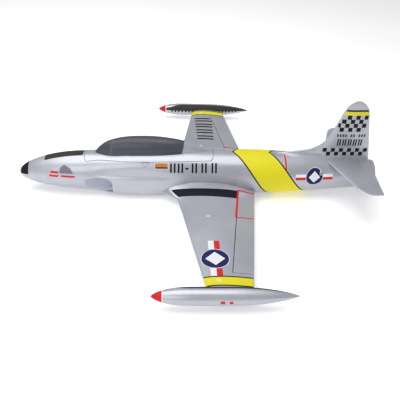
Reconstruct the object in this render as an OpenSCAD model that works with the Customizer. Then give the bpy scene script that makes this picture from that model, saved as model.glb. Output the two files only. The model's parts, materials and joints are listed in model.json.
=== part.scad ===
// Foam ducted-fan model jet: a straight-wing two-seat trainer with tip tanks.
// Stations (x) run aft from the nose tip and heights (z) from the nose tip's level;
// in_place() then moves everything so that the belly rests on z = 0, centred in plan.

/* [Fuselage] */
// Length from the nose tip to the tail ring
body_len = 868; // [820:1:920]
// Foam wall of the fuselage shells
wall = 5.5; // [4:0.5:7]
// Length of the separate nose cone
nose_cone_len = 64; // [50:1:80]
// Gap round the lift-off hatch
hatch_gap = 0.4; // [0.3:0.1:0.8]

/* [Wing] */
// Dihedral of each wing panel, in degrees
dihedral = 1; // [0:0.25:2]
// Thickness of the wing at its root
wing_root_thick = 19; // [16:0.5:21]
// Thickness of the wing at its tip
wing_tip_thick = 9.5; // [8:0.5:12]
// Diameter of the carbon spar tube
spar_d = 6; // [4:0.5:7]

/* [Tip tanks] */
// Length of a tip tank
tank_len = 281; // [240:1:300]
// Diameter of a tip tank
tank_d = 35; // [30:0.5:38]

/* [Fan] */
// Diameter swept by the rotor blades
fan_d = 64; // [60:0.5:64]
// Number of rotor blades
blade_count = 11; // [5:1:12]

/* [Linkages] */
// Radius of every servo arm and control horn
arm_r = 12; // [10:0.5:13]
// Diameter of the pushrod wire
rod_d = 1.2; // [1:0.1:1.5]

/* [Hidden] */
silver = [0.74, 0.75, 0.78];
dark_glass = [0.3, 0.31, 0.35];
foam_white = [0.93, 0.93, 0.9];
plywood = [0.78, 0.62, 0.42];
black = [0.1, 0.1, 0.11];
steel = [0.62, 0.63, 0.65];
nylon = [0.92, 0.92, 0.92];
servo_blue = [0.15, 0.25, 0.6];

belly_drop = 51;
nose_len = 190;
fan_z = 4.5;
fan_x = 474;
round_fn = 48;
duct_wall = 1;
servo = [20, 8.6, 17];
arm_thick = 1.5;
pin_r = 0.75;
pin_gap = 0.08;

// Fuselage sections aft of the nose:
// [station, half width, centre height, rise, drop, upper roundness, lower roundness]
body_rows = [
  [110, 42.4, 2.2, 43.5, 43.5, 2, 2],
  [150, 45.6, 2.5, 47, 47, 2, 2],
  [190, 47.5, 3, 48.5, 49.5, 2.05, 2.3],
  [225, 52, 3, 52, 53, 2.2, 3],
  [260, 54, 3, 56.5, 54, 2.35, 3.5],
  [330, 54.5, 3, 59, 54, 2.4, 3.4],
  [400, 54.5, 3, 58, 54, 2.3, 3],
  [470, 54.3, 3.6, 55, 53.6, 2.15, 2.5],
  [540, 54, 4.2, 53.5, 53.5, 2.05, 2.15],
  [600, 53, 4.7, 53, 53, 2, 2],
  [650, 50.3, 5.2, 50.3, 50.3, 2, 2],
  [700, 47.3, 5.8, 47.3, 47.3, 2, 2],
  [750, 43.5, 6, 43.5, 43.5, 2, 2],
  [800, 39.2, 5.6, 39.2, 39.2, 2, 2],
  [840, 35.6, 5, 35.6, 35.6, 2, 2],
  [868, 33, 4.5, 33, 33, 2, 2]
];
outer_stations = [
  64, 74, 86, 98, 110, 123, 136, 149, 160, 171, 182, 193, 204, 215, 226, 238, 252, 268, 286, 305,
  325, 346, 368, 390, 412, 434, 456, 478, 500, 524, 548, 572, 596, 620, 645, 670, 695, 720, 745,
  770, 795, 820, 845, 868
];
inner_stations = [72, 90, 110, 130, 150, 175, 200, 225, 250, 285, 325, 370, 420, 470, 520, 570,
                  620, 670, 720, 770, 820, 868];

// Height of the centre line of the nose: [station, height]
nose_rise = [[0, -5], [10, -4.3], [30, -2.3], [60, -0.2], [90, 1.5], [120, 2.4], [150, 2.5], [190, 3]];

// Hatch outline seen from the side: lower edge [station, height]
hatch_x = [160, 466];
hatch_edge = [[172, 41.8], [200, 44.5], [250, 47], [300, 48.2], [380, 49.3], [455, 50]];

// Canopy sections: [station, half width, sill height, top height]
canopy_rows = [
  [184, 1.5, 49, 52], [190, 5.5, 49, 61], [197, 9.5, 49, 68.5], [211, 16, 49, 78.5],
  [226, 20, 50, 84.5], [245, 22.8, 52, 89.5], [268, 24.8, 54, 92.7], [292, 25.6, 55, 93.8],
  [315, 25.8, 56, 94], [338, 25, 56, 92.7], [362, 22.5, 57, 90.2], [380, 19.5, 57, 87.6],
  [397, 16, 57, 84]
];
// Fairing behind the canopy: [station, half width, foot height, top height]
fairing_rows = [
  [386, 18.3, 52, 86], [397, 16, 52, 83.5], [410, 14.2, 52, 78.5], [425, 11.5, 52, 72.5],
  [440, 8, 52, 66.5], [452, 4.5, 52, 62], [463, 1.2, 52, 58.8]
];

// Wing: [span, leading edge, trailing edge]
wing_z = -28;
wing_camber = 1.1;
wing_rows = [
  [46, 340, 570.4], [54, 347, 569.3], [62, 355.5, 568.2], [70, 365, 567.1], [78, 374.5, 566],
  [85, 381, 565.1], [95, 383.8, 563.7], [150, 393, 556.2], [220, 404.7, 546.7],
  [290, 416.4, 537.1], [350, 426.5, 528.9], [378, 431.2, 525.1], [400, 435, 522]
];
aileron_y = [163, 347];
hinge_x0 = 540.6;
hinge_slope = 0.1475;
hinge_angle = atan(hinge_slope);
hinge_up = 1;
nose_r = 4.2;
cove_r = 4.7;
servo_y = 232;
servo_u = -48;
servo_w = -1.4;
spar_x = 432;
spar_z = -29.5;
spar_half = 125;
tank_y = 406.2;
tank_x = 328;
tank_z = -20.9;

// Tailplane: [span, leading edge, trailing edge]
tail_z = 45.5;
tail_rows = [
  [0, 739.3, 851.5], [30, 749, 849.1], [70, 761.9, 845.9], [110, 774.8, 842.7],
  [137, 783.6, 840.5], [150, 790.5, 839.5], [158, 797.7, 838.9], [162, 805, 838.5],
  [163.5, 813, 836.5]
];
elevator_x = 823;
elevator_y = [20, 122.6];
joiner_half = 38;
joiner_r = 1;
elevator_pin_r = 0.5;
tail_nose_r = 2.1;
tail_cove_r = 2.5;

// Fin: [height, leading edge, trailing edge, thickness]
fin_rows = [
  [34, 606, 855.8, 9], [48, 608, 852.9, 9], [54, 614, 851.7, 8.8], [57, 622, 851, 8.7],
  [60, 640, 850.4, 8.6], [63, 660, 849.8, 8.5], [66, 680, 849.2, 8.4], [69, 697, 848.6, 8.3],
  [75, 712, 847.3, 8.2], [83, 725, 845.7, 8], [93, 735.5, 843.6, 7.8], [104, 742.5, 841.3, 7.6],
  [116, 748, 838.9, 7.4], [130, 753.5, 836, 7.1], [150, 761, 831.8, 6.7], [172, 768.5, 827.3, 6],
  [183, 774.5, 821, 5], [191, 782.5, 812.5, 3.6], [196, 792, 804, 1.8]
];

// Intake duct: [station, centre y, centre z, half width, half height, roundness]
duct_rows = [
  [228, 41.5, -12, 8, 20, 3.4], [270, 36, -10, 11, 22, 3], [330, 31, -7, 14.5, 24, 2.8],
  [390, 24, -1, 18, 26, 2.6], [432, 19, 3, 17.5, 27, 2.5], [458, 17.6, fan_z, 16.2, 30.5, 2.4]
];
// Recess ahead of the intake lip: [station, inner y, lowest z, highest z]
recess_rows = [
  [148, 47, -20, -2], [160, 44.5, -27, 2], [175, 41.5, -31, 5], [190, 38.5, -33, 7],
  [205, 36, -33.5, 8], [222, 34, -33, 8.5], [236, 33, -32.5, 8.5]
];
// Foam left behind the recess
recess_wall = 2.5;
lip_top_x = 216;
lip_low_x = 227;
belly_x = 290;

// Elevator linkage
elevator_servo_at = [395, -32.5, 40];
elevator_rod_bend_x = 690;
elevator_rod_bend_z = 24;
elevator_horn_y = -48.4;

// ---- shared functions and helpers ----

function row_index(rows, x, i = 0) =
  (i >= len(rows) - 2 || x <= rows[i + 1][0]) ? i : row_index(rows, x, i + 1);
function row_slope(rows, i, k) =
  let (a = max(i - 1, 0), b = min(i + 1, len(rows) - 1))
  (rows[b][k] - rows[a][k]) / (rows[b][0] - rows[a][0]);

// Smooth value of column k at x, through every row
function smooth(rows, x, k) =
  let (i = row_index(rows, x), h = rows[i + 1][0] - rows[i][0])
  let (u = max(0, min(1, (x - rows[i][0]) / h)))
  rows[i][k] * (2 * u ^ 3 - 3 * u ^ 2 + 1) + rows[i + 1][k] * (3 * u ^ 2 - 2 * u ^ 3)
  + h * row_slope(rows, i, k) * (u ^ 3 - 2 * u ^ 2 + u)
  + h * row_slope(rows, i + 1, k) * (u ^ 3 - u ^ 2);

function nose_radius(x) = 48 * sqrt(max(0.0001, 1 - ((nose_len - x) / nose_len) ^ 2));
function body_row(x) =
  x < 150
    ? [x, 0.97 * nose_radius(x), smooth(nose_rise, x, 1), nose_radius(x), nose_radius(x), 2, 2]
    : [for (k = [0:6]) k == 0 ? x : smooth(body_rows, x, k)];

function oval(a, w, up, down, n_up, n_down) =
  let (c = cos(a), s = sin(a), n = s >= 0 ? n_up : n_down, h = s >= 0 ? up : down)
  [w * sign(c) * abs(c) ^ (2 / n), h * sign(s) * abs(s) ^ (2 / n)];

function body_outline(x, inset) =
  let (b = body_row(x))
  [for (a = [0:9:351]) oval(a, b[1] - inset, b[3] - inset, b[4] - inset, b[5], b[6]) + [0, b[2]]];
function body_ring(x, inset) = [for (p = body_outline(x, inset)) [x, p[0], p[1]]];
// The foam wall thins towards the tail ring
function inset_at(x) = x < 700 ? wall : wall - 2 * (x - 700) / 168;

function thickness_shape(t) =
  5 * (0.2969 * sqrt(t) - 0.126 * t - 0.3516 * t ^ 2 + 0.2843 * t ^ 3 - 0.1036 * t ^ 4);
// Section points [chord fraction, height], from the trailing edge over one side and back
function foil(chord, thick, camber, edge, n) =
  let (up = [for (i = [0:n]) (1 + cos(180 * i / n)) / 2])
  concat(
    [for (t = up) [t * chord, 4 * camber * t * (1 - t) + thick * thickness_shape(t) + edge * t]],
    [for (i = [n - 1:-1:0]) let (t = up[i])
      [t * chord, 4 * camber * t * (1 - t) - thick * thickness_shape(t) - edge * t]]);
function backwards(list) = [for (i = [len(list) - 1:-1:0]) list[i]];

// Solid through a list of rings that all have the same number of points
module loft(rings) {
  n = len(rings[0]);
  last = len(rings) - 1;
  points = [for (ring = rings) each ring];
  sides = [for (j = [0:last - 1]) for (i = [0:n - 1]) let (k = (i + 1) % n) each [
    [j * n + i, (j + 1) * n + i, (j + 1) * n + k],
    [j * n + i, (j + 1) * n + k, j * n + k]
  ]];
  front = [for (i = [0:n - 1]) i];
  back = [for (i = [n - 1:-1:0]) last * n + i];
  polyhedron(points, concat(sides, [front], [back]), convexity = 10);
}

// Turns lofted skins and their cuts into one smooth-faceted solid
module one_skin() {
  resize([0, 0, 0]) children();
}

module in_place() {
  translate([-body_len / 2, 0, belly_drop]) children();
}

module mirrored(side) {
  mirror([0, side < 0 ? 1 : 0, 0]) children();
}

module tube_along(points, r, sides = 8) {
  last = len(points) - 1;
  loft([for (i = [0:last])
    let (d = points[min(i + 1, last)] - points[max(i - 1, 0)])
    let (t = d / norm(d), u0 = cross([0, 0, 1], t), u = u0 / norm(u0), v = cross(t, u))
    [for (a = [0:360 / sides:359]) points[i] + r * (cos(a) * u + sin(a) * v)]]);
}

// ---- fuselage ----

module body_solid(stations = outer_stations, extra = 0) {
  loft([for (x = stations) body_ring(x, -extra)]);
}

module body_cavity() {
  loft([for (x = inner_stations) body_ring(x, inset_at(x))]);
}

module hatch_prism(gap) {
  first = hatch_x[0] - gap;
  final = hatch_x[1] + gap;
  corner = 8;
  edge = [for (p = hatch_edge) p - [0, gap]];
  rotate([90, 0, 0])
    linear_extrude(160, center = true)
      polygon(concat(
        [[first, 120], [first, 40.8 + corner - gap]],
        [for (a = [200:20:260]) [first + corner, 40.8 + corner - gap] + corner * [cos(a), sin(a)]],
        edge,
        [for (a = [280:20:340]) [final - corner, 50.2 + corner - gap] + corner * [cos(a), sin(a)]],
        [[final, 50.2 + corner - gap], [final, 120]]));
}

module arch_loft(rows, stations, inset = 0, foot = 0) {
  loft([for (x = stations)
    let (w = max(0.5, smooth(rows, x, 1) - inset), low = smooth(rows, x, 2) - foot)
    let (high = smooth(rows, x, 3) - inset)
    concat(
      [for (a = [0:12:180]) [x, w * sign(cos(a)) * abs(cos(a)) ^ 0.88,
        low + (high - low) * sin(a) ^ 0.88]],
      [[x, -w, low - 0.5], [x, w, low - 0.5]])]);
}

canopy_stations = [184, 187, 190, 194, 198, 204, 211, 218, 226, 235, 245, 256, 268, 280, 292, 304,
                   316, 328, 340, 351, 362, 372, 380, 388, 397];
module canopy_solid(inset = 0, foot = 0) {
  arch_loft(canopy_rows, canopy_stations, inset, foot);
}

module fairing_solid() {
  arch_loft(fairing_rows, [386, 391, 397, 403, 410, 418, 425, 433, 440, 447, 453, 459, 463]);
}

// Slanting face where the canopy ends and the fairing begins
module canopy_cutter(ahead) {
  shift = ahead ? -200 : 0;
  translate([391, 0, 60])
    rotate([0, 12, 0])
      translate([shift, -60, -40])
        cube([200, 120, 90]);
}

module recess_loft(grow) {
  b = 5;
  loft([for (r = recess_rows)
    let (y0 = r[1] - grow, low = r[2] - grow, high = r[3] + grow)
    [[r[0], 75, low], [r[0], 75, high], [r[0], y0 + b, high], [r[0], y0 + 1.5, high - 1.5],
     [r[0], y0, high - b], [r[0], y0, low + b], [r[0], y0 + 1.5, low + 1.5],
     [r[0], y0 + b, low]]]);
}

module side_recess(side) {
  mirrored(side) {
    difference() {
      recess_loft(0);
      translate([lip_low_x, 30, -60])
        rotate([0, -atan((lip_low_x - lip_top_x) / 44), 0])
          translate([0, 0, -20])
            cube([60, 60, 120]);
    }
  }
}

duct_stations = [228, 238, 249, 270, 300, 330, 360, 390, 411, 432, 446, 458];
module duct_solid(side, grow, stations = duct_stations) {
  mirrored(side)
    loft([for (x = stations)
      let (cy = smooth(duct_rows, x, 1), cz = smooth(duct_rows, x, 2))
      [for (a = [0:15:345])
        let (p = oval(a, smooth(duct_rows, x, 3) + grow, smooth(duct_rows, x, 4) + grow,
                      smooth(duct_rows, x, 4) + grow, smooth(duct_rows, x, 5),
                      smooth(duct_rows, x, 5)))
        [x, cy + p[0], cz + p[1]]]]);
}

module duct_passage(side) {
  intersection() {
    duct_solid(side, duct_wall + 0.2, concat([202], duct_stations));
    translate([lip_top_x - 6, side < 0 ? -60 : 0, -60])
      cube([120, 60, 120]);
  }
}

module tail_saddle() {
  loft([for (r = [[736, 20, 42], [760, 17, 43], [800, 13, 44], [835, 10, 44], [858, 6, 42]])
    [for (a = [0:18:342]) [r[0], r[1] * cos(a), 20 + (r[2] - 20) * sin(a)]]]);
}

// Channel that lets the elevator pushrod out through the port wall
module pushrod_slot() {
  hull() {
    translate([688, -34.5, 24])
      cube([4, 4.6, 4.6], center = true);
    translate([768, -44, 29.7])
      cube([4, 4.6, 4.6], center = true);
  }
}

module belly_recess() {
  translate([belly_x, -22, -51.2])
    cube([150, 44, 1.8]);
}

module fuselage_half(side) {
  color(silver) in_place() one_skin()
    intersection() {
      difference() {
        union() {
          body_solid();
          tail_saddle();
        }
        difference() {
          body_cavity();
          mirrored(side) recess_loft(recess_wall);
        }
        hatch_prism(hatch_gap);
        side_recess(side);
        duct_passage(side);
        wing_solid(side, 0);
        tailplane_solid();
        belly_recess();
        spar_hole(spar_d / 2 + 0.05);
        if (side < 0) pushrod_slot();
      }
      translate([0, side < 0 ? -100 : 0, -100])
        cube([body_len + 1, 100, 300]);
    }
}

module fuselage_left() { fuselage_half(-1); }
module fuselage_right() { fuselage_half(1); }

module nose_cone() {
  color(silver) in_place() one_skin()
    difference() {
      loft([for (x = [0.1, 1, 3, 6, 10, 15, 21, 28, 36, 45, 54, nose_cone_len]) body_ring(x, 0)]);
      loft([for (x = [14, 18, 24, 32, 42, 52, nose_cone_len + 1]) body_ring(x, wall)]);
    }
}

module hatch() {
  color(silver) in_place() one_skin()
    union() {
      intersection() {
        difference() {
          body_solid();
          body_cavity();
        }
        hatch_prism(0);
      }
      intersection() {
        difference() {
          fairing_solid();
          body_solid(extra = -2);
        }
        canopy_cutter(false);
      }
      hatch_bosses();
    }
}

// Bosses inside the hatch that carry its magnets
module hatch_bosses() {
  intersection() {
    at_magnets()
      difference() {
        translate([0, 0, 0.4])
          cylinder(h = 30, r = magnet_r + 1.2, $fn = 24);
        cylinder(h = 3.05, r = magnet_r + 0.1, $fn = 24);
      }
    body_solid(extra = -2);
    hatch_prism(0);
  }
}

module canopy() {
  color(dark_glass) in_place() one_skin()
    difference() {
      canopy_solid();
      canopy_solid(1.2, 4);
      body_solid();
      canopy_cutter(false);
    }
}

// ---- wing ----

function wing_thick(y) = wing_tip_thick + (wing_root_thick - wing_tip_thick) * (1 - y / 400);

module wing_frame(side) {
  mirrored(side)
    translate([0, 0, wing_z])
      rotate([dihedral, 0, 0])
        children();
}

// Frame on the aileron hinge line: u aft, v outboard along the hinge, w up
module hinge_frame(side) {
  wing_frame(side)
    translate([hinge_x0, 0, hinge_up])
      rotate([0, 0, hinge_angle])
        children();
}

module wing_solid(side, gap) {
  wing_frame(side)
    loft([for (r = wing_rows)
      backwards([for (p = foil(r[2] - r[1], wing_thick(r[0]), wing_camber, 0.6, 14))
        [r[1] + p[0], r[0], p[1]]])]);
}

module tank_solid(side, grow = 0) {
  nose = 88;
  shoulder = 150;
  r = tank_d / 2 + grow;
  mirrored(side)
    translate([tank_x, tank_y, tank_z])
      rotate([0, 90, 0])
        rotate_extrude($fn = round_fn)
          polygon(concat(
            [[0, 0]],
            [for (a = [6:12:90]) [r * sin(a), nose * (1 - cos(a))]],
            [[r, shoulder]],
            [for (t = [0.15:0.1:0.96]) [r * (1 - t ^ 2.1) ^ 0.85,
              shoulder + (tank_len - shoulder) * t]],
            [[0, tank_len]]));
}

module spar_hole(r) {
  translate([spar_x, 0, spar_z])
    rotate([90, 0, 0])
      cylinder(h = 2 * spar_half, r = r, center = true, $fn = round_fn);
}

// Everything aft of the hinge line between the aileron's two ends
module aileron_zone(gap, r) {
  intersection() {
    union() {
      translate([0, 0, -30])
        cube([90, 420, 60]);
      rotate([-90, 0, 0])
        cylinder(h = 420, r = r, $fn = 32);
    }
    rotate([0, 0, -hinge_angle])
      translate([-160, aileron_y[0] - gap, -30])
        cube([220, aileron_y[1] - aileron_y[0] + 2 * gap, 60]);
  }
}

module hinge_pin_pair(r, grow) {
  for (y = aileron_y)
    translate([0, y / cos(hinge_angle) - 8 - grow, 0])
      rotate([-90, 0, 0])
        cylinder(h = 16 + 2 * grow, r = r, $fn = 24);
}

function servo_v() = servo_y / cos(hinge_angle);

module servo_pocket() {
  translate([servo_u - 6, servo_v() - servo[2] - 1, -20])
    cube([servo[0] + 3, servo[2] + 7, 20 + servo_w + servo[1] / 2 + 0.3]);
}

module horn_foot(grow) {
  translate([3.5, servo_v() - 3.5, -5.2])
    cube([9, 7, 2.6 + grow]);
}

module wing(side) {
  color(silver) in_place() one_skin()
    difference() {
      wing_solid(side, 0);
      tank_solid(side, 0.2);
      hinge_frame(side) {
        aileron_zone(0.5, cove_r);
        hinge_pin_pair(pin_r + 0.05, 1);
        servo_pocket();
      }
      spar_hole(spar_d / 2 + 0.05);
    }
}

module wing_left() { wing(-1); }
module wing_right() { wing(1); }

module aileron(side) {
  color(silver) in_place() one_skin()
    difference() {
      intersection() {
        wing_solid(side, 0);
        hinge_frame(side) aileron_zone(-0.5, nose_r);
      }
      hinge_frame(side) {
        hinge_pin_pair(pin_r + pin_gap, 1);
        horn_foot(0);
      }
    }
}

module aileron_left() { aileron(-1); }
module aileron_right() { aileron(1); }

module aileron_pins(side) {
  color(steel) in_place() hinge_frame(side) hinge_pin_pair(pin_r, 0);
}

module aileron_pins_left() { aileron_pins(-1); }
module aileron_pins_right() { aileron_pins(1); }

module wing_spar() {
  color(black) in_place()
    translate([spar_x, 0, spar_z])
      rotate([90, 0, 0])
        difference() {
          cylinder(h = 2 * spar_half - 1, d = spar_d, center = true, $fn = round_fn);
          cylinder(h = 2 * spar_half + 1, d = spar_d - 2, center = true, $fn = round_fn);
        }
}

module tip_tank_left() { color(silver) in_place() tank_solid(-1); }
module tip_tank_right() { color(silver) in_place() tank_solid(1); }

// ---- tail ----

module tailplane_solid() {
  span_rows = concat(
    [for (i = [len(tail_rows) - 1:-1:1]) [-tail_rows[i][0], tail_rows[i][1], tail_rows[i][2]]],
    tail_rows);
  translate([0, 0, tail_z])
    loft([for (r = span_rows)
      let (tip = max(0, abs(r[0]) - 137) / 26.5)
      backwards([for (p = foil(r[2] - r[1], (7.6 - abs(r[0]) / 52) * (1 - 0.55 * tip ^ 2), 0, 0.5, 10))
        [r[1] + p[0], r[0], p[1]]])]);
}

module elevator_zone(side, gap, r) {
  mirrored(side)
    translate([elevator_x, elevator_y[0] - gap, tail_z]) {
      translate([0, 0, -20])
        cube([60, elevator_y[1] - elevator_y[0] + 2 * gap, 40]);
      rotate([-90, 0, 0])
        cylinder(h = elevator_y[1] - elevator_y[0] + 2 * gap, r = r, $fn = 24);
    }
}

module joiner_bar(r, half) {
  translate([elevator_x, 0, tail_z])
    rotate([90, 0, 0])
      cylinder(h = 2 * half, r = r, center = true, $fn = 24);
}

module elevator_pin(side, r, grow) {
  mirrored(side)
    translate([elevator_x, elevator_y[1] - 6 - grow, tail_z])
      rotate([-90, 0, 0])
        cylinder(h = 12 + 2 * grow, r = r, $fn = 24);
}

module elevator_horn_foot() {
  translate([elevator_x + 3, elevator_horn_y - 3.5, tail_z - 3.2])
    cube([8, 7, 1.6]);
}

module tailplane() {
  color(silver) in_place() one_skin()
    difference() {
      tailplane_solid();
      for (side = [-1, 1]) {
        elevator_zone(side, 0.5, tail_cove_r);
        elevator_pin(side, elevator_pin_r + 0.05, 1);
      }
      joiner_bar(joiner_r + 0.35, elevator_y[0] + 1);
    }
}

module elevator(side) {
  color(silver) in_place() one_skin()
    difference() {
      intersection() {
        tailplane_solid();
        elevator_zone(side, 0, tail_nose_r);
      }
      elevator_pin(side, elevator_pin_r + pin_gap, 1);
      joiner_bar(joiner_r + pin_gap, joiner_half + 0.5);
      if (side < 0) elevator_horn_foot();
    }
}

module elevator_left() { elevator(-1); }
module elevator_right() { elevator(1); }

module elevator_joiner() {
  color(steel) in_place() joiner_bar(joiner_r, joiner_half);
}

module elevator_pins() {
  color(steel) in_place()
    for (side = [-1, 1]) elevator_pin(side, elevator_pin_r, 0);
}

module fin() {
  color(silver) in_place() one_skin()
    difference() {
      loft([for (r = fin_rows)
        [for (p = foil(r[2] - r[1], r[3], 0, 0.6, 12)) [r[1] + p[0], p[1], r[0]]]]);
      body_solid();
      tail_saddle();
      tailplane_solid();
    }
}

// ---- servos and linkages ----

// Servo with its shaft along v, its arm just past v = 0, and its body on the -v side
module servo_body() {
  translate([-5, -servo[2], -servo[1] / 2])
    cube([servo[0], servo[2], servo[1]]);
  translate([0, 1.2, 0])
    rotate([90, 0, 0])
      cylinder(h = 1.2, r = 3.2, $fn = 32);
}

// Arm that hangs from the shaft, with a hole at arm_r
module hanging_arm() {
  translate([0, 1.4 + arm_thick, 0])
    rotate([90, 0, 0])
      linear_extrude(arm_thick)
        difference() {
          hull() {
            circle(r = 3, $fn = 32);
            translate([0, -arm_r])
              circle(r = 1.7, $fn = 32);
          }
          translate([0, -arm_r])
            circle(r = rod_d / 2 + pin_gap, $fn = 32);
        }
}

module aileron_servo(side) {
  color(servo_blue) in_place() hinge_frame(side)
    translate([servo_u, servo_v(), servo_w])
      servo_body();
}

module aileron_servo_left() { aileron_servo(-1); }
module aileron_servo_right() { aileron_servo(1); }

module aileron_servo_arm(side) {
  color(nylon) in_place() hinge_frame(side)
    translate([servo_u, servo_v(), servo_w])
      hanging_arm();
}

module servo_arm_left() { aileron_servo_arm(-1); }
module servo_arm_right() { aileron_servo_arm(1); }

rod_v = 4.1;
rod_pin_r = rod_d / 2 - 0.04;

// Straight wire from a to b, running on past each end by the length given for it
module rod_between(a, b, past_a = 0.8, past_b = 0.8) {
  d = b - a;
  t = d / norm(d);
  translate(a - past_a * t)
    rotate([0, acos(t[2]), atan2(t[1], t[0])])
      cylinder(h = norm(d) + past_a + past_b, r = rod_d / 2, $fn = 24);
}

module aileron_pushrod(side) {
  start = [servo_u, servo_v() + rod_v, servo_w - arm_r];
  finish = [0, servo_v() + rod_v, -arm_r];
  color(steel) in_place() hinge_frame(side) {
    rod_between(start, finish);
    for (p = [start, finish])
      translate(p)
        rotate([90, 0, 0])
          cylinder(h = rod_v - 0.7, r = rod_pin_r, $fn = 24);
  }
}

module pushrod_left() { aileron_pushrod(-1); }
module pushrod_right() { aileron_pushrod(1); }

// Blade of a horn, from its foot down to the hole at arm_r below the hinge axis
module horn_blade(foot_x, foot_z) {
  translate([0, 1.4 + arm_thick, 0])
    rotate([90, 0, 0])
      linear_extrude(arm_thick)
        difference() {
          hull() {
            translate([foot_x[0], foot_z])
              square([foot_x[1] - foot_x[0], 0.4]);
            translate([0, -arm_r])
              circle(r = 1.7, $fn = 32);
          }
          translate([0, -arm_r])
            circle(r = rod_d / 2 + pin_gap, $fn = 32);
        }
}

module aileron_horn(side) {
  color(nylon) in_place() hinge_frame(side) {
    horn_foot(0);
    translate([0, servo_v(), 0])
      horn_blade([3.5, 12.5], -5.2);
  }
}

module aileron_horn_left() { aileron_horn(-1); }
module aileron_horn_right() { aileron_horn(1); }

module elevator_horn() {
  color(nylon) in_place() {
    elevator_horn_foot();
    translate([elevator_x, elevator_horn_y, tail_z])
      mirror([0, 1, 0])
        translate([0, -2.2, 0])
          horn_blade([3, 11], -3.2);
  }
}

module elevator_servo() {
  color(servo_blue) in_place()
    translate(elevator_servo_at)
      mirror([0, 1, 0])
        translate([0, -2, 0])
          servo_body();
}

module servo_arm_elevator() {
  color(nylon) in_place()
    translate(elevator_servo_at)
      mirror([0, 1, 0])
        translate([0, -2.15, 0])
          hanging_arm();
}

module pushrod_elevator() {
  start = elevator_servo_at - [0, 2, arm_r];
  bend = [elevator_rod_bend_x, start[1], elevator_rod_bend_z];
  finish = [elevator_x, elevator_horn_y - 2, tail_z - arm_r];
  color(steel) in_place() {
    rod_between(start, bend, 0.8, 0);
    rod_between(bend, finish, 0, 0.8);
    translate(bend)
      rotate([90, 0, 0])
        cylinder(h = 2.4, r = rod_d / 2 + 0.4, center = true, $fn = 24);
    for (p = [start, finish])
      translate(p)
        rotate([-90, 0, 0])
          cylinder(h = 3.4, r = rod_pin_r, $fn = 24);
  }
}

// ---- power unit ----

module along_x(x, z = fan_z) {
  translate([x, 0, z])
    rotate([0, 90, 0])
      children();
}

module ring_of(h, r_out, r_in) {
  difference() {
    cylinder(h = h, r = r_out, $fn = round_fn * 2);
    translate([0, 0, -1])
      cylinder(h = h + 2, r = r_in, $fn = round_fn * 2);
  }
}

motor_r = 14;
housing_r = fan_d / 2 + 1.6;
housing_len = 68;

module fan_housing() {
  color(black) in_place() along_x(fan_x - 6) {
    difference() {
      union() {
        ring_of(housing_len, housing_r, fan_d / 2 + 0.3);
        ring_of(2, housing_r + 1.2, fan_d / 2 + 0.3);
      }
      translate([housing_r - 4, -7, 54])
        cube([8, 14, 10]);
    }
    translate([0, 0, 26])
      ring_of(30, motor_r + 1.3, motor_r + 0.05);
    for (a = [36:72:324])
      rotate([0, 0, a])
        translate([motor_r + 1.2, -0.8, 28])
          cube([fan_d / 2 + 0.6 - motor_r - 1.2, 1.6, 24]);
  }
}

module fan_rotor() {
  hub_r = 13.5;
  color([0.2, 0.2, 0.22]) in_place() along_x(fan_x) {
    difference() {
      union() {
        cylinder(h = 15, r = hub_r, $fn = round_fn);
        rotate_extrude($fn = round_fn)
          polygon(concat([[0, 0.1]],
            [for (a = [0:15:90]) [hub_r * cos(a), -14 * sin(a)]]));
      }
      translate([0, 0, 3])
        cylinder(h = 20, r = 1.6, $fn = 32);
    }
    for (i = [0:blade_count - 1])
      rotate([0, 0, i * 360 / blade_count])
        fan_blade(hub_r - 0.6, fan_d / 2 - 0.2);
  }
}

// Thin twisted blade from the hub to the tip
module fan_blade(r0, r1) {
  loft([for (t = [0, 0.5, 1])
    let (r = r0 + (r1 - r0) * t, pitch = 52 - 20 * t, half = 6.5)
    let (dx = half * sin(pitch), dz = half * cos(pitch))
    [[r, -dx - 0.4, 7.5 - dz], [r, 0.2, 6.8], [r, dx + 0.4, 7.5 + dz], [r, -0.8, 8.4]]]);
}

module motor_shaft() {
  color(steel) in_place() along_x(fan_x + 3.5)
    cylinder(h = 17, r = 1.58, $fn = 32);
}

module fan_motor() {
  color([0.35, 0.36, 0.4]) in_place() along_x(fan_x + 18)
    difference() {
      cylinder(h = 38, r = motor_r, $fn = round_fn);
      translate([0, 0, -1])
        cylinder(h = 6, r = 1.65, $fn = 32);
    }
}

module tail_cone() {
  color(black) in_place() along_x(fan_x + 56.2)
    rotate_extrude($fn = round_fn)
      polygon(concat([[0, 0]], [for (a = [0:10:90]) [motor_r * cos(a), 42 * sin(a)]]));
}

tube_start = fan_x + housing_len - 5.5;
tube_end_r = 27;

module thrust_tube() {
  length = body_len - 3 - tube_start;
  start_r = fan_d / 2 + 0.4;
  color([0.85, 0.85, 0.82]) in_place() along_x(tube_start)
    rotate_extrude($fn = round_fn * 2)
      polygon([[start_r, 0], [start_r + 0.8, 0], [tube_end_r + 0.8, length], [tube_end_r, length]]);
}

module exhaust_ring() {
  color(steel) in_place() along_x(body_len - 16)
    ring_of(16, 29.3, tube_end_r + 1.2);
}

module intake_duct(side) {
  color(foam_white) in_place() one_skin()
    difference() {
      duct_solid(side, duct_wall);
      duct_solid(side, 0, concat([227], duct_stations, [459]));
    }
}

module intake_duct_left() { intake_duct(-1); }
module intake_duct_right() { intake_duct(1); }

// ---- inner structure and equipment ----

module former(x, thick, top) {
  translate([x, 0, 0])
    rotate([90, 0, 90])
      linear_extrude(thick)
        difference() {
          polygon(body_outline(x, inset_at(x) + 0.5));
          translate([-60, top])
            square([120, 60]);
          children();
        }
}

module nose_former() {
  color(plywood) in_place()
    former(163, 3, 34)
      translate([-22, tray_z - 2.6])
        square([44, 60]);
}

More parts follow.
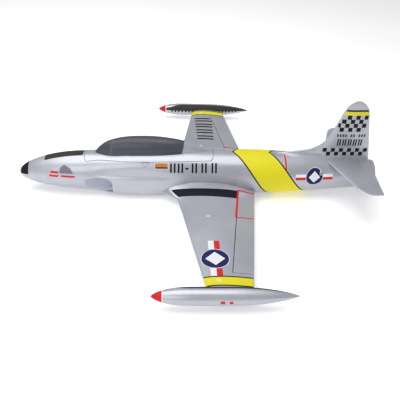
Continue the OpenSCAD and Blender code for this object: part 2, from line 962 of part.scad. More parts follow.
module fan_former() {
  color(plywood) in_place()
    difference() {
      former(471, 3, 46)
        translate([0, fan_z])
          circle(r = housing_r + 0.1, $fn = round_fn);
      translate([460, -38, 20])
        cube([20, 11, 14]);
      translate([460, -7, -45])
        cube([20, 14, 8]);
    }
}

module rear_former() {
  color(plywood) in_place()
    difference() {
      former(640, 3, 60)
        translate([0, fan_z])
          circle(r = 32.2, $fn = round_fn);
      translate([630, -38, 17])
        cube([20, 11, 14]);
    }
}

tray_z = -14;

module battery_tray() {
  color(plywood) in_place()
    translate([95, 0, tray_z - 2.5])
      linear_extrude(2.5)
        difference() {
          union() {
            translate([0, -20])
              square([175, 40]);
            translate([170, -12.5])
              square([80, 25]);
          }
          translate([176, -7])
            square([22, 14]);
          for (x = [40, 90])
            for (y = [-18.8, 18.3])
              translate([x, y])
                square([20, 0.5]);
        }
}

battery = [106, 34, 26];

module battery() {
  color([0.15, 0.2, 0.45]) in_place()
    translate([110, -battery[1] / 2, tray_z])
      cube(battery);
}

module battery_strap() {
  half = battery[1] / 2;
  color(black) in_place()
    translate([152, 0, 0])
      rotate([90, 0, 90])
        linear_extrude(18)
          difference() {
            translate([-half - 1.4, tray_z + 0.01])
              square([2 * half + 2.8, battery[2] + 1.4]);
            translate([-half - 0.2, tray_z - 1])
              square([2 * half + 0.4, battery[2] + 1.2]);
          }
}

module speed_controller() {
  color(black) in_place()
    translate([228, -13, tray_z])
      cube([38, 26, 11]);
}

module receiver() {
  color([0.25, 0.25, 0.28]) in_place()
    translate([300, -11, tray_z])
      cube([42, 22, 13]);
}

module battery_lead() {
  color([0.8, 0.15, 0.1]) in_place()
    for (y = [-5, 5])
      tube_along([[216.6, y, 4], [219, y, 4], [222, y, 2], [223, y, -2], [224, y, -6],
                  [225.6, y, -8], [227.6, y, -8]], 1.6);
}

module motor_leads() {
  color(black) in_place()
    for (y = [-4.5, 0, 4.5])
      tube_along([[266.4, y, -8.5], [273, y, -8.5], [280, y, -16], [285, y, -28], [296, y, -40],
                  [315, y, -42], [420, y, -42], [500, y, -41], [516, y, -39], [524, y, -33],
                  [528, y, -26], [531, y, -16], [531.5, y * 0.9, -9.6]], 1.4);
}

// Leads of the two aileron servos, from each wing pocket to the receiver
module aileron_leads() {
  color([0.45, 0.28, 0.15]) in_place()
    for (side = [-1, 1])
      mirrored(side)
        tube_along([[342.6, 8, -9], [346, 8, -10], [353, 9, -18], [362, 11, -32], [376, 18, -39],
                    [392, 30, -38]], 1.2);
}

module at_belly_screws() {
  for (x = [8, 142])
    for (y = [-15, 15])
      translate([x, y, 0])
        children();
}

module belly_plate() {
  color(foam_white) in_place()
    translate([belly_x, 0, -belly_drop])
      linear_extrude(1.5)
        difference() {
          translate([0.2, -21.8])
            square([149.6, 43.6]);
          at_belly_screws()
            circle(r = 2.2, $fn = 24);
        }
}

module belly_screws() {
  color(steel) in_place()
    translate([belly_x, 0, -belly_drop + 0.3])
      at_belly_screws()
        cylinder(h = 1.1, r = 2.1, $fn = 24);
}

magnet_xy = [[172, 11], [460, 13.5]];
magnet_z = [30, 46.2];

magnet_r = 4;

module at_magnets(ends = [0, 1]) {
  for (i = ends)
    for (side = [-1, 1])
      translate([magnet_xy[i][0], side * magnet_xy[i][1], magnet_z[i]])
        children();
}

// Block that reaches from one former to just past its magnet
module magnet_block(reach) {
  difference() {
    translate([min(reach, -6), -6, -6])
      cube([max(reach, 6) - min(reach, -6), 12, 6]);
    translate([0, 0, -3])
      cylinder(h = 4, r = magnet_r + 0.05, $fn = 32);
  }
}

module magnet_blocks() {
  color(plywood) in_place() {
    at_magnets([0]) magnet_block(-6);
    at_magnets([1]) magnet_block(11);
  }
}

module fuselage_magnets() {
  color(steel) in_place() at_magnets()
    translate([0, 0, -3])
      cylinder(h = 2.9, r = magnet_r, $fn = 32);
}

module hatch_magnets() {
  color(steel) in_place() at_magnets()
    translate([0, 0, 0.4])
      cylinder(h = 2.6, r = magnet_r, $fn = 32);
}

nose_cone();
fuselage_left();
fuselage_right();
hatch();
canopy();
wing_left();
wing_right();
wing_spar();
tip_tank_left();
tip_tank_right();
aileron_left();
aileron_right();
aileron_pins_left();
aileron_pins_right();
tailplane();
fin();
elevator_left();
elevator_right();
elevator_joiner();
elevator_pins();
aileron_servo_left();
aileron_servo_right();
elevator_servo();
servo_arm_left();
servo_arm_right();
servo_arm_elevator();
pushrod_left();
pushrod_right();
pushrod_elevator();
aileron_horn_left();
aileron_horn_right();
elevator_horn();
intake_duct_left();
intake_duct_right();
fan_housing();
fan_rotor();
motor_shaft();
fan_motor();
tail_cone();
thrust_tube();
exhaust_ring();
nose_former();
fan_former();
rear_former();
battery_tray();
battery();
battery_strap();
speed_controller();
receiver();
battery_lead();
motor_leads();
aileron_leads();
belly_plate();
belly_screws();
magnet_blocks();
fuselage_magnets();
hatch_magnets();
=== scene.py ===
"""Visual model of a foam ducted-fan trainer jet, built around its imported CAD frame.

Shapes are worked out in millimetres: s runs aft from the nose tip, y to starboard, and z up from the
nose tip's level, as in the CAD source. place() turns them into metres in the row frame.
"""

import json
import math

import bmesh
import bpy
import numpy as np
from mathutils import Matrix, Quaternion, Vector
from mathutils.bvhtree import BVHTree


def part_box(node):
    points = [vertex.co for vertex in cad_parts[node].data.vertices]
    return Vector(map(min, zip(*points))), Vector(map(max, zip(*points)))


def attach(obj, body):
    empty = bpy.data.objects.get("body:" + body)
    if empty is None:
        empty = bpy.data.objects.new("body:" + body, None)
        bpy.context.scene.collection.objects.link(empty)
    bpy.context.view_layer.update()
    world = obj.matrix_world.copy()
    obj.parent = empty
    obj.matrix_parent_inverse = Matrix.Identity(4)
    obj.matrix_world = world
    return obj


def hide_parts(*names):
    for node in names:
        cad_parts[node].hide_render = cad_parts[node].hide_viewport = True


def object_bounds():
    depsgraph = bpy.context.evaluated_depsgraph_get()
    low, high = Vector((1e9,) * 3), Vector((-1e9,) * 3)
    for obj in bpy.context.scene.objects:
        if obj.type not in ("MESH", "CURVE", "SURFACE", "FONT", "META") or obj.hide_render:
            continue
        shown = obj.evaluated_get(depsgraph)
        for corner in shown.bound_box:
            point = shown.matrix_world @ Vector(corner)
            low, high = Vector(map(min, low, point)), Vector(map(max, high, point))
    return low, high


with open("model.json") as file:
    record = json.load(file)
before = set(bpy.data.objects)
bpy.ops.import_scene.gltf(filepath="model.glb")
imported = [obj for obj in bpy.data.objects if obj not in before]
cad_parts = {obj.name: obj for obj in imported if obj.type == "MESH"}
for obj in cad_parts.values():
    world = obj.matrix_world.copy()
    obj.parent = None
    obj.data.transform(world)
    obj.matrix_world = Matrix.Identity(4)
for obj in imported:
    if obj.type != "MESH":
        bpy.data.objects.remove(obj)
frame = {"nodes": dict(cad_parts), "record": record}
cad_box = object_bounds()

# ---- frame and sizes ----

MM = 0.001
BODY_LEN = 868
SPAR_Z = -29.5
WALL = 5.5
NOSE_CONE_LEN = 64
NOSE_LEN = 190
LEFT, RIGHT = -1, 1

spar_low, spar_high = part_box("wing_spar")
NOSE_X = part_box("exhaust_ring")[1].x - BODY_LEN * MM
LEVEL_Z = (spar_low.z + spar_high.z) / 2 - SPAR_Z * MM

# Fuselage sections: station, half width, centre, rise, drop, upper and lower roundness
BODY_ROWS = [
    [110, 42.4, 2.2, 43.5, 43.5, 2, 2],
    [150, 45.6, 2.5, 47, 47, 2, 2],
    [190, 47.5, 3, 48.5, 49.5, 2.05, 2.3],
    [225, 52, 3, 52, 53, 2.2, 3],
    [260, 54, 3, 56.5, 54, 2.35, 3.5],
    [330, 54.5, 3, 59, 54, 2.4, 3.4],
    [400, 54.5, 3, 58, 54, 2.3, 3],
    [470, 54.3, 3.6, 55, 53.6, 2.15, 2.5],
    [540, 54, 4.2, 53.5, 53.5, 2.05, 2.15],
    [600, 53, 4.7, 53, 53, 2, 2],
    [650, 50.3, 5.2, 50.3, 50.3, 2, 2],
    [700, 47.3, 5.8, 47.3, 47.3, 2, 2],
    [750, 43.5, 6, 43.5, 43.5, 2, 2],
    [800, 39.2, 5.6, 39.2, 39.2, 2, 2],
    [840, 35.6, 5, 35.6, 35.6, 2, 2],
    [868, 33, 4.5, 33, 33, 2, 2],
]
NOSE_RISE = [[0, -5], [10, -4.3], [30, -2.3], [60, -0.2], [90, 1.5], [120, 2.4], [150, 2.5], [190, 3]]
HATCH_X = [160, 466]
HATCH_EDGE = [[172, 41.8], [200, 44.5], [250, 47], [300, 48.2], [380, 49.3], [455, 50]]
# Canopy and the fairing behind it: station, half width, foot, top
CANOPY_ROWS = [
    [184, 1.5, 49, 52], [190, 5.5, 49, 61], [197, 9.5, 49, 68.5], [211, 16, 49, 78.5],
    [226, 20, 50, 84.5], [245, 22.8, 52, 89.5], [268, 24.8, 54, 92.7], [292, 25.6, 55, 93.8],
    [315, 25.8, 56, 94], [338, 25, 56, 92.7], [362, 22.5, 57, 90.2], [380, 19.5, 57, 87.6],
    [397, 16, 57, 84],
]
FAIRING_ROWS = [
    [386, 18.3, 52, 86], [397, 16, 52, 83.5], [410, 14.2, 52, 78.5], [425, 11.5, 52, 72.5],
    [440, 8, 52, 66.5], [452, 4.5, 52, 62], [463, 1.2, 52, 58.8],
]
# Wing: span, leading edge, trailing edge
WING_ROWS = [
    [46, 340, 570.4], [54, 347, 569.3], [62, 355.5, 568.2], [70, 365, 567.1], [78, 374.5, 566],
    [85, 381, 565.1], [95, 383.8, 563.7], [150, 393, 556.2], [220, 404.7, 546.7],
    [290, 416.4, 537.1], [350, 426.5, 528.9], [378, 431.2, 525.1], [400, 435, 522],
]
WING_Z = -28
DIHEDRAL = math.radians(1)
AILERON_Y = [163, 347]
HINGE_X = 540.6
HINGE_ANGLE = math.atan(0.1475)
HINGE_UP = 1
SERVO_Y = 232
# Root fillet of the wing: station, height up the fuselage side
FILLET_ROWS = [
    [338, 0], [352, 4], [366, 9], [380, 13], [396, 16.5], [415, 20], [440, 22], [465, 22],
    [490, 20.5], [512, 17], [535, 12], [557, 6.5], [575, 2],
]
TANK_AT = [328, 406.2, -20.9]
TANK_LEN = 281
TANK_R = 17.5
TAIL_Z = 45.5
TAIL_ROWS = [
    [0, 739.3, 851.5], [30, 749, 849.1], [70, 761.9, 845.9], [110, 774.8, 842.7],
    [137, 783.6, 840.5], [150, 790.5, 839.5], [158, 797.7, 838.9], [162, 805, 838.5],
    [163.5, 813, 836.5],
]
ELEVATOR_X = 823
ELEVATOR_Y = [20, 122.6]
# Fin: height, leading edge, trailing edge, thickness
FIN_ROWS = [
    [34, 606, 855.8, 9], [48, 608, 852.9, 9], [54, 614, 851.7, 8.8], [57, 622, 851, 8.7],
    [60, 640, 850.4, 8.6], [63, 660, 849.8, 8.5], [66, 680, 849.2, 8.4], [69, 697, 848.6, 8.3],
    [75, 712, 847.3, 8.2], [83, 725, 845.7, 8], [93, 735.5, 843.6, 7.8], [104, 742.5, 841.3, 7.6],
    [116, 748, 838.9, 7.4], [130, 753.5, 836, 7.1], [150, 761, 831.8, 6.7], [172, 768.5, 827.3, 6],
    [183, 774.5, 821, 5], [191, 782.5, 812.5, 3.6], [196, 792, 804, 1.8],
]
# Fairing under the fin and tailplane: station, half width, top
SADDLE_ROWS = [[726, 8, 36], [736, 20, 42], [760, 17, 43], [800, 13, 44], [835, 10, 44], [862, 6, 41]]
# Intake duct: station, centre y, centre z, half width, half height, roundness
DUCT_ROWS = [
    [228, 41.5, -12, 8, 20, 3.4], [270, 36, -10, 11, 22, 3], [330, 31, -7, 14.5, 24, 2.8],
    [390, 24, -1, 18, 26, 2.6], [432, 19, 3, 17.5, 27, 2.5], [458, 17.6, 4.5, 16.2, 30.5, 2.4],
]
# Recess ahead of the intake lip: station, inner y, lowest z, highest z
RECESS_ROWS = [
    [148, 47, -20, -2], [160, 44.5, -27, 2], [175, 41.5, -31, 5], [190, 38.5, -33, 7],
    [205, 36, -33.5, 8], [222, 34, -33, 8.5], [236, 33, -32.5, 8.5],
]
LIP_TOP = [205, 8]
LIP_X = 227


def place(points):
    """Points in millimetres from the nose tip, as metres in the row frame."""
    return np.asarray(points, float) * MM + [NOSE_X, 0, LEVEL_Z]


def smooth(rows, column):
    """Smooth curve of a column against the first one, through every row."""
    xs = np.array([r[0] for r in rows], float)
    ys = np.array([r[column] for r in rows], float)
    last = len(xs) - 1
    before = np.maximum(np.arange(last + 1) - 1, 0)
    after = np.minimum(np.arange(last + 1) + 1, last)
    slopes = (ys[after] - ys[before]) / (xs[after] - xs[before])

    def value(x):
        i = np.clip(np.searchsorted(xs, x, side="left") - 1, 0, last - 1)
        h = xs[i + 1] - xs[i]
        u = np.clip((x - xs[i]) / h, 0, 1)
        return (
            ys[i] * (2 * u**3 - 3 * u**2 + 1)
            + ys[i + 1] * (3 * u**2 - 2 * u**3)
            + h * slopes[i] * (u**3 - 2 * u**2 + u)
            + h * slopes[i + 1] * (u**3 - u**2)
        )

    return value


def straight(rows, column):
    """Straight-line interpolation of a column against the first one."""
    xs = [r[0] for r in rows]
    ys = [r[column] for r in rows]
    return lambda x: np.interp(x, xs, ys)


def ease(x, low, high):
    """0 below low, 1 above high, and a smooth step between them."""
    u = np.clip((np.asarray(x, float) - low) / (high - low), 0, 1)
    return u * u * (3 - 2 * u)


# ---- meshes ----


def new_object(name, points, faces):
    mesh = bpy.data.meshes.new(name)
    mesh.from_pydata(place(points).tolist(), [], faces)
    made = bpy.data.objects.new(name, mesh)
    bpy.context.scene.collection.objects.link(made)
    return made


def face_outwards(made):
    bm = bmesh.new()
    bm.from_mesh(made.data)
    bmesh.ops.recalc_face_normals(bm, faces=bm.faces[:])
    bm.to_mesh(made.data)
    bm.free()


def loft(name, rings):
    """Closed solid through rings with the same number of points, its ends closed by fans."""
    rings = np.asarray(rings, float)
    rows, n, _ = rings.shape
    points = np.vstack([rings.reshape(-1, 3), rings[0].mean(0), rings[-1].mean(0)])
    faces = []
    for j in range(rows - 1):
        for i in range(n):
            k = (i + 1) % n
            faces.append((j * n + i, j * n + k, (j + 1) * n + k, (j + 1) * n + i))
    first, final = rows * n, rows * n + 1
    for i in range(n):
        k = (i + 1) % n
        faces.append((first, k, i))
        faces.append((final, (rows - 1) * n + i, (rows - 1) * n + k))
    made = new_object(name, points, faces)
    face_outwards(made)
    return made


def apply_modifiers(made):
    graph = bpy.context.evaluated_depsgraph_get()
    mesh = bpy.data.meshes.new_from_object(made.evaluated_get(graph))
    made.modifiers.clear()
    old = made.data
    made.data = mesh
    bpy.data.meshes.remove(old)


def copy_of(made, name):
    twin = made.copy()
    twin.data = made.data.copy()
    twin.name = name
    bpy.context.scene.collection.objects.link(twin)
    return twin


def discard(made):
    bpy.data.meshes.remove(made.data)


def combine(made, tool, operation):
    """Boolean of made with tool, applied. The tool is used up."""
    modifier = made.modifiers.new(operation, "BOOLEAN")
    modifier.operation = operation
    modifier.object = tool
    modifier.solver = "MANIFOLD"
    apply_modifiers(made)
    if len(made.data.polygons) == 0:
        raise RuntimeError(f"{operation} with {tool.name} left nothing of {made.name}")
    discard(tool)
    return made


def cut(made, tool):
    return combine(made, tool, "DIFFERENCE")


def finish_piece(made, body, look, slot, *nodes, angle=32):
    """Smooth shading, a material, a body to ride on and the CAD nodes that the piece stands for."""
    bm = bmesh.new()
    bm.from_mesh(made.data)
    bmesh.ops.dissolve_degenerate(bm, dist=1e-6, edges=bm.edges[:])
    bm.to_mesh(made.data)
    bm.free()
    made.data.shade_smooth()
    made.data.set_sharp_from_angle(angle=math.radians(angle))
    made.data.materials.clear()
    made.data.materials.append(look)
    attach(made, body)
    if nodes:
        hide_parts(*nodes)
    return made


def box_solid(name, low, high, transform=lambda p: p):
    """Closed box between two corners, passed through a transform of its points."""
    (a, b, c), (d, e, f) = low, high
    ring = [[b, c], [e, c], [e, f], [b, f]]
    return loft(name, [[transform([x, y, z]) for y, z in ring] for x in (a, d)])


def tube(name, path, radius, sides=12):
    """Round bar along a path."""
    path = np.asarray(path, float)
    rings = []
    for i, p in enumerate(path):
        d = path[min(i + 1, len(path) - 1)] - path[max(i - 1, 0)]
        t = d / np.linalg.norm(d)
        u = np.cross([0.31, 0.2, 0.93], t)
        u /= np.linalg.norm(u)
        v = np.cross(t, u)
        turns = np.linspace(0, 2 * math.pi, sides, endpoint=False)
        rings.append([p + radius * (math.cos(a) * u + math.sin(a) * v) for a in turns])
    return loft(name, rings)


# ---- materials ----


class Nodes:
    """Small helper that adds and links the nodes of one material."""

    def __init__(self, name):
        self.material = bpy.data.materials.new(name)
        self.material.use_nodes = True
        self.tree = self.material.node_tree
        self.shader = self.tree.nodes["Principled BSDF"]
        self.where = self.add("ShaderNodeTexCoord").outputs["Object"]

    def add(self, kind, links=(), **settings):
        node = self.tree.nodes.new(kind)
        for key, value in settings.items():
            if key in node.inputs:
                node.inputs[key].default_value = value
            else:
                setattr(node, key, value)
        for socket, source in dict(links).items():
            self.tree.links.new(source, node.inputs[socket])
        return node

    def noise(self, scale, detail=3.0, rough=0.5, stretch=None):
        where = self.where
        if stretch:
            where = self.add("ShaderNodeMapping", {"Vector": where}, Scale=stretch).outputs["Vector"]
        made = self.add(
            "ShaderNodeTexNoise", {"Vector": where}, Scale=scale, Detail=detail, Roughness=rough
        )
        return made.outputs["Fac"]

    def remap(self, value, low, high, a=0.3, b=0.7):
        made = self.add("ShaderNodeMapRange", {"Value": value})
        for key, number in (("From Min", a), ("From Max", b), ("To Min", low), ("To Max", high)):
            made.inputs[key].default_value = number
        return made.outputs["Result"]

    def mix(self, factor, a, b):
        made = self.add("ShaderNodeMix", data_type="RGBA")
        for socket, value in ((0, factor), (6, a), (7, b)):
            if isinstance(value, (tuple, list, float, int)):
                made.inputs[socket].default_value = value
            else:
                self.tree.links.new(value, made.inputs[socket])
        return made.outputs[2]

    def bump(self, height, distance, strength=1.0, under=None):
        links = {"Height": height}
        if under is not None:
            links["Normal"] = under
        made = self.add("ShaderNodeBump", links, Strength=strength, Distance=distance)
        return made.outputs["Normal"]

    def set(self, **sockets):
        for key, value in sockets.items():
            socket = self.shader.inputs[key.replace("_", " ")]
            if isinstance(value, bpy.types.NodeSocket):
                self.tree.links.new(value, socket)
            else:
                socket.default_value = value
        return self.material


def tone(colour, gain):
    return tuple(min(1.0, c * gain) for c in colour) + (1.0,)


def foam_paint(name, colour, roughness, metallic=0.0, spread=0.06, shine=0.5):
    """Paint over moulded bead foam: faint bead pattern, uneven sheen and rubbed edges."""
    n = Nodes(name)
    broad = n.noise(14.0, 4.0)
    fine = n.noise(160.0, 3.0)
    beads = n.add("ShaderNodeTexVoronoi", {"Vector": n.where}, Scale=310.0, feature="SMOOTH_F1")
    skin = n.mix(n.remap(broad, 0.0, 1.0), tone(colour, 1 - spread), tone(colour, 1 + spread))
    skin = n.mix(n.remap(fine, 0.0, 0.35, 0.45, 0.75), skin, tone(colour, 1 - 1.6 * spread))
    edges = n.add("ShaderNodeNewGeometry").outputs["Pointiness"]
    worn = n.add("ShaderNodeMath", {0: n.remap(edges, 0.0, 0.55, 0.53, 0.6), 1: fine}, operation="MULTIPLY")
    skin = n.mix(worn.outputs[0], skin, tone(colour, 1.35))
    normal = n.bump(beads.outputs["Distance"], 0.0003, 0.10)
    normal = n.bump(fine, 0.0003, 0.12, normal)
    return n.set(
        Base_Color=skin,
        Roughness=n.remap(broad, roughness - 0.04, roughness + 0.07),
        Metallic=metallic,
        Specular_IOR_Level=shine,
        Normal=normal,
    )


def moulded(name, colour, roughness, metallic=0.0, grain=220.0, spread=0.08, depth=0.0001, **extra):
    """Plain moulded, drawn or cast stuff with fine grain and uneven sheen."""
    n = Nodes(name)
    broad = n.noise(45.0)
    fine = n.noise(grain, 4.0)
    skin = n.mix(n.remap(broad, 0.0, 1.0), tone(colour, 1 - spread), tone(colour, 1 + spread))
    return n.set(
        Base_Color=skin,
        Roughness=n.remap(fine, max(0.05, roughness - 0.06), roughness + 0.08),
        Metallic=metallic,
        Normal=n.bump(fine, depth, 0.3),
        **extra,
    )


def striped(name, colour, dark, roughness, stretch, metallic=0.0, depth=0.0002):
    """Stuff with a direction: wood grain, brushed metal, woven carbon or webbing."""
    n = Nodes(name)
    grain = n.noise(60.0, 5.0, 0.6, stretch)
    broad = n.noise(25.0)
    skin = n.mix(n.remap(grain, 0.0, 1.0), tone(dark, 1), tone(colour, 1))
    skin = n.mix(n.remap(broad, 0.0, 0.3), skin, tone(colour, 1.12))
    return n.set(
        Base_Color=skin,
        Roughness=n.remap(grain, roughness + 0.08, roughness - 0.05),
        Metallic=metallic,
        Normal=n.bump(grain, depth, 0.4),
    )


def woven(name, colour, pitch, roughness=0.8):
    """Crossed threads, raised alternately."""
    n = Nodes(name)
    waves = []
    for direction in ("X", "Y"):
        wave = n.add(
            "ShaderNodeTexWave", {"Vector": n.where}, Scale=1 / pitch, Distortion=0.4,
            bands_direction=direction,
        )
        waves.append(wave.outputs["Fac"])
    cross = n.add("ShaderNodeMath", {0: waves[0], 1: waves[1]}, operation="MULTIPLY").outputs[0]
    skin = n.mix(n.remap(cross, 0.0, 1.0, 0.0, 1.0), tone(colour, 0.6), tone(colour, 1.5))
    return n.set(
        Base_Color=skin,
        Roughness=n.remap(n.noise(90.0), roughness - 0.06, roughness + 0.06),
        Normal=n.bump(cross, 0.0003, 0.6),
    )


silver = foam_paint("silver_paint", (0.455, 0.468, 0.52), 0.33, 0.5)
yellow = foam_paint("yellow_paint", (0.72, 0.65, 0.012), 0.5, spread=0.03, shine=0.3)
black = foam_paint("black_paint", (0.009, 0.010, 0.016), 0.6, spread=0.1, shine=0.12)
# Near-black paint: the anti-glare panel and the fin ticks, and also the painted shade in the aileron hinge
# gaps.
anti_glare_and_gap_shade = foam_paint("anti_glare_and_gap_shade_paint", (0.042, 0.041, 0.037), 0.7, spread=0.1, shine=0.12)
olive = foam_paint("olive_black_paint", (0.04, 0.037, 0.027), 0.6, spread=0.12, shine=0.15)
red = foam_paint("red_paint", (0.56, 0.012, 0.012), 0.45, spread=0.05, shine=0.3)
white = foam_paint("white_paint", (0.74, 0.74, 0.77), 0.5, spread=0.02, shine=0.3)
pale = foam_paint("pale_grey_paint", (0.44, 0.45, 0.48), 0.5, spread=0.03, shine=0.3)
navy = foam_paint("navy_paint", (0.010, 0.012, 0.095), 0.5, spread=0.06, shine=0.2)
orange = foam_paint("orange_paint", (0.50, 0.19, 0.02), 0.5, spread=0.15, shine=0.3)
brown = foam_paint("brown_paint", (0.09, 0.035, 0.01), 0.5, spread=0.15, shine=0.3)
# Intake recess paint: rougher and less metallic than the silver, and darker bluish grey as painted shade
# inside the recess.
rough_and_shaded_recess_paint = foam_paint("recess_paint_with_painted_shade", (0.35, 0.375, 0.45), 0.5, 0.3)
groove = foam_paint("panel_line", (0.18, 0.185, 0.2), 0.5, 0.2, shine=0.3)
canopy_tint = moulded(
    "canopy_tint", (0.062, 0.065, 0.088), 0.3, grain=30.0, spread=0.06, depth=0.00015,
    Coat_Weight=0.12, Coat_Roughness=0.14, Specular_IOR_Level=0.25,
)
seam = moulded("canopy_seam", (0.13, 0.135, 0.165), 0.4, grain=60.0)

NODE_LOOKS = {
    "carbon_tube": woven("carbon_weave", (0.03, 0.03, 0.034), 0.004, 0.35),
    "steel_wire": striped(
        "spring_wire", (0.62, 0.62, 0.64), (0.35, 0.35, 0.37), 0.28, (0.2, 6, 6), 1.0, 0.00005,
    ),
    "servo_case": moulded("servo_plastic", (0.03, 0.09, 0.42), 0.22, Transmission_Weight=0.15),
    "nylon": moulded("white_nylon", (0.82, 0.82, 0.79), 0.42, Subsurface_Weight=0.08),
    "duct_plastic": moulded("duct_sheet", (0.72, 0.72, 0.70), 0.35),
    "fan_plastic": moulded("fan_nylon", (0.028, 0.028, 0.032), 0.4, spread=0.2),
    "motor_can": striped("motor_can", (0.42, 0.43, 0.47), (0.2, 0.2, 0.23), 0.3, (8, 0.6, 0.6), 0.9, 0.00005),
    "exhaust_metal": striped("dull_ring", (0.5, 0.5, 0.51), (0.24, 0.23, 0.22), 0.4, (6, 0.5, 0.5), 0.85),
    "plywood": striped("birch_ply", (0.66, 0.48, 0.29), (0.40, 0.25, 0.13), 0.62, (0.35, 5, 5)),
    "battery_wrap": moulded("battery_wrap", (0.05, 0.10, 0.34), 0.25, grain=60.0, depth=0.0004),
    "strap_webbing": woven("strap_webbing", (0.03, 0.03, 0.033), 0.0022),
    "electronics": moulded("shrink_wrap", (0.04, 0.04, 0.048), 0.35, grain=70.0, depth=0.0003),
    "red_wire": moulded("red_silicone", (0.6, 0.04, 0.03), 0.45),
    "black_wire": moulded("black_silicone", (0.03, 0.03, 0.032), 0.45, spread=0.2),
    "servo_wire": striped("servo_lead", (0.34, 0.15, 0.05), (0.04, 0.02, 0.01), 0.5, (0.3, 8, 8)),
    "magnet": moulded("nickel_plate", (0.68, 0.68, 0.70), 0.2, 1.0),
    "silver_foam": silver,
    "canopy_tint": canopy_tint,
}
for part in frame["record"]["subparts"]:
    cad_mesh = frame["nodes"][part["node"]].data
    cad_mesh.materials.clear()
    cad_mesh.materials.append(NODE_LOOKS[part["material_slot"]])


def silver_skin(made, *nodes, **options):
    """Finishes a silver foam piece of the airframe."""
    return finish_piece(made, "airframe", silver, "silver_foam", *nodes, **options)


# ---- fuselage ----

body_curves = [smooth(BODY_ROWS, k) for k in range(1, 7)]
nose_rise = smooth(NOSE_RISE, 1)


def body_section(s):
    """Half width, centre, rise, drop and the two roundness numbers at a station."""
    if s >= 150:
        return [float(c(s)) for c in body_curves]
    r = 48 * math.sqrt(max(1e-6, 1 - ((NOSE_LEN - s) / NOSE_LEN) ** 2))
    return [0.97 * r, float(nose_rise(s)), r, r, 2, 2]


def cheek_step(s, z):
    """How far the skin steps in above the intake's cheek."""
    along = ease(s, 150, 225) * (1 - ease(s, 310, 400))
    return 3.2 * along * ease(z, 7, 14) * (1 - ease(z, 20, 46))


def body_ring(s, n, inset=0.0):
    w, mid, rise, drop, n_up, n_low = body_section(s)
    a = np.arange(n) * 2 * math.pi / n
    c, q = np.cos(a), np.sin(a)
    power = np.where(q >= 0, 2 / n_up, 2 / n_low)
    height = np.where(q >= 0, rise - inset, drop - inset)
    y = (w - inset) * np.sign(c) * np.abs(c) ** power
    z = mid + height * np.sign(q) * np.abs(q) ** power
    if inset == 0:
        y = y - np.sign(y) * cheek_step(s, z)
    return np.stack([np.full(n, float(s)), y, z], 1)


def body_top(s):
    w, mid, rise, _, _, _ = body_section(s)
    return mid + rise


def skin_y(s, z):
    """Half width of the fuselage at a station and a height."""
    w, mid, rise, drop, n_up, n_low = body_section(s)
    power, height = (n_up, rise) if z >= mid else (n_low, drop)
    return w * (1 - min(1, abs((z - mid) / height)) ** power) ** (1 / power)


def body_solid(name, start=NOSE_CONE_LEN, n=144):
    return loft(name, [body_ring(s, n) for s in np.linspace(start, BODY_LEN, 232)])


def body_cavity(name):
    stations = np.linspace(72, BODY_LEN + 1, 70)
    inset = [WALL if s < 700 else WALL - 2 * (s - 700) / 168 for s in stations]
    return loft(name, [body_ring(s, 60, t) for s, t in zip(stations, inset)])


def hatch_prism(gap):
    """Upright prism of the hatch's outline seen from the side."""
    first, final = HATCH_X[0] - gap, HATCH_X[1] + gap
    corner = 8
    edge = smooth(HATCH_EDGE, 1)
    outline = [[first, 120]]
    for a in np.radians(np.arange(180, 271, 10)):
        outline.append([first + corner + corner * math.cos(a), 48.8 - gap + corner * math.sin(a)])
    outline += [[s, float(edge(s)) - gap] for s in np.linspace(172, 455, 40)]
    for a in np.radians(np.arange(270, 361, 10)):
        outline.append([final - corner + corner * math.cos(a), 58.2 - gap + corner * math.sin(a)])
    outline.append([final, 120])
    return loft("hatch_prism", [[[s, y, z] for s, z in outline] for y in (-80, 80)])


def recess_ring(s, grow):
    y0, low, high = (float(smooth(RECESS_ROWS, k)(s)) for k in (1, 2, 3))
    reach = (s - LIP_TOP[0]) / (LIP_X - LIP_TOP[0])
    if reach > 0 and grow == 0:
        high = LIP_TOP[1] + 0.3 - 19 * (1 - math.sqrt(max(0.0, 1 - min(1, reach) ** 2)))
    if s > 221 and grow == 0:
        low += 4 * (1 - math.sqrt(max(0.0, 1 - min(1, (s - 221) / 6) ** 2)))
    y0, low, high, r = y0 - grow, low - grow, high + grow, 7
    ring = [[s, 75, low]]
    for a in np.radians(np.arange(270, 179, -15)):
        ring.append([s, y0 + r + r * math.cos(a), low + r + r * math.sin(a)])
    for a in np.radians(np.arange(180, 89, -15)):
        ring.append([s, y0 + r + r * math.cos(a), high - r + r * math.sin(a)])
    ring.append([s, 75, high])
    return ring


def recess_solid(side, grow=0.0):
    stations = list(np.linspace(148, 204, 40)) + list(205 + 22 * np.sin(np.linspace(0, math.pi / 2, 22)))
    if grow:
        stations = np.linspace(148, 236, 40)
    return loft("recess", mirrored([recess_ring(s, grow) for s in stations], side))


def mirrored(rings, side):
    return np.asarray(rings, float) * [1, side, 1]


def duct_solid(side, grow, start, end):
    curves = [smooth(DUCT_ROWS, k) for k in range(1, 6)]
    rings = []
    a = np.arange(64) * 2 * math.pi / 64
    for s in np.linspace(start, end, 40):
        cy, cz, w, h, n = (float(c(s)) for c in curves)
        y = cy + (w + grow) * np.sign(np.cos(a)) * np.abs(np.cos(a)) ** (2 / n)
        z = cz + (h + grow) * np.sign(np.sin(a)) * np.abs(np.sin(a)) ** (2 / n)
        rings.append(np.stack([np.full(len(a), s), y, z], 1))
    return loft("duct", mirrored(rings, side))


def build_nose():
    spread = np.linspace(0, 1, 46)[1:] ** 2
    made = loft("nose_skin", [body_ring(s, 144) for s in 64 * spread])
    cut(made, loft("hollow", [body_ring(s, 60, WALL) for s in np.linspace(16, 66, 14)]))
    silver_skin(made, "nose_cone")


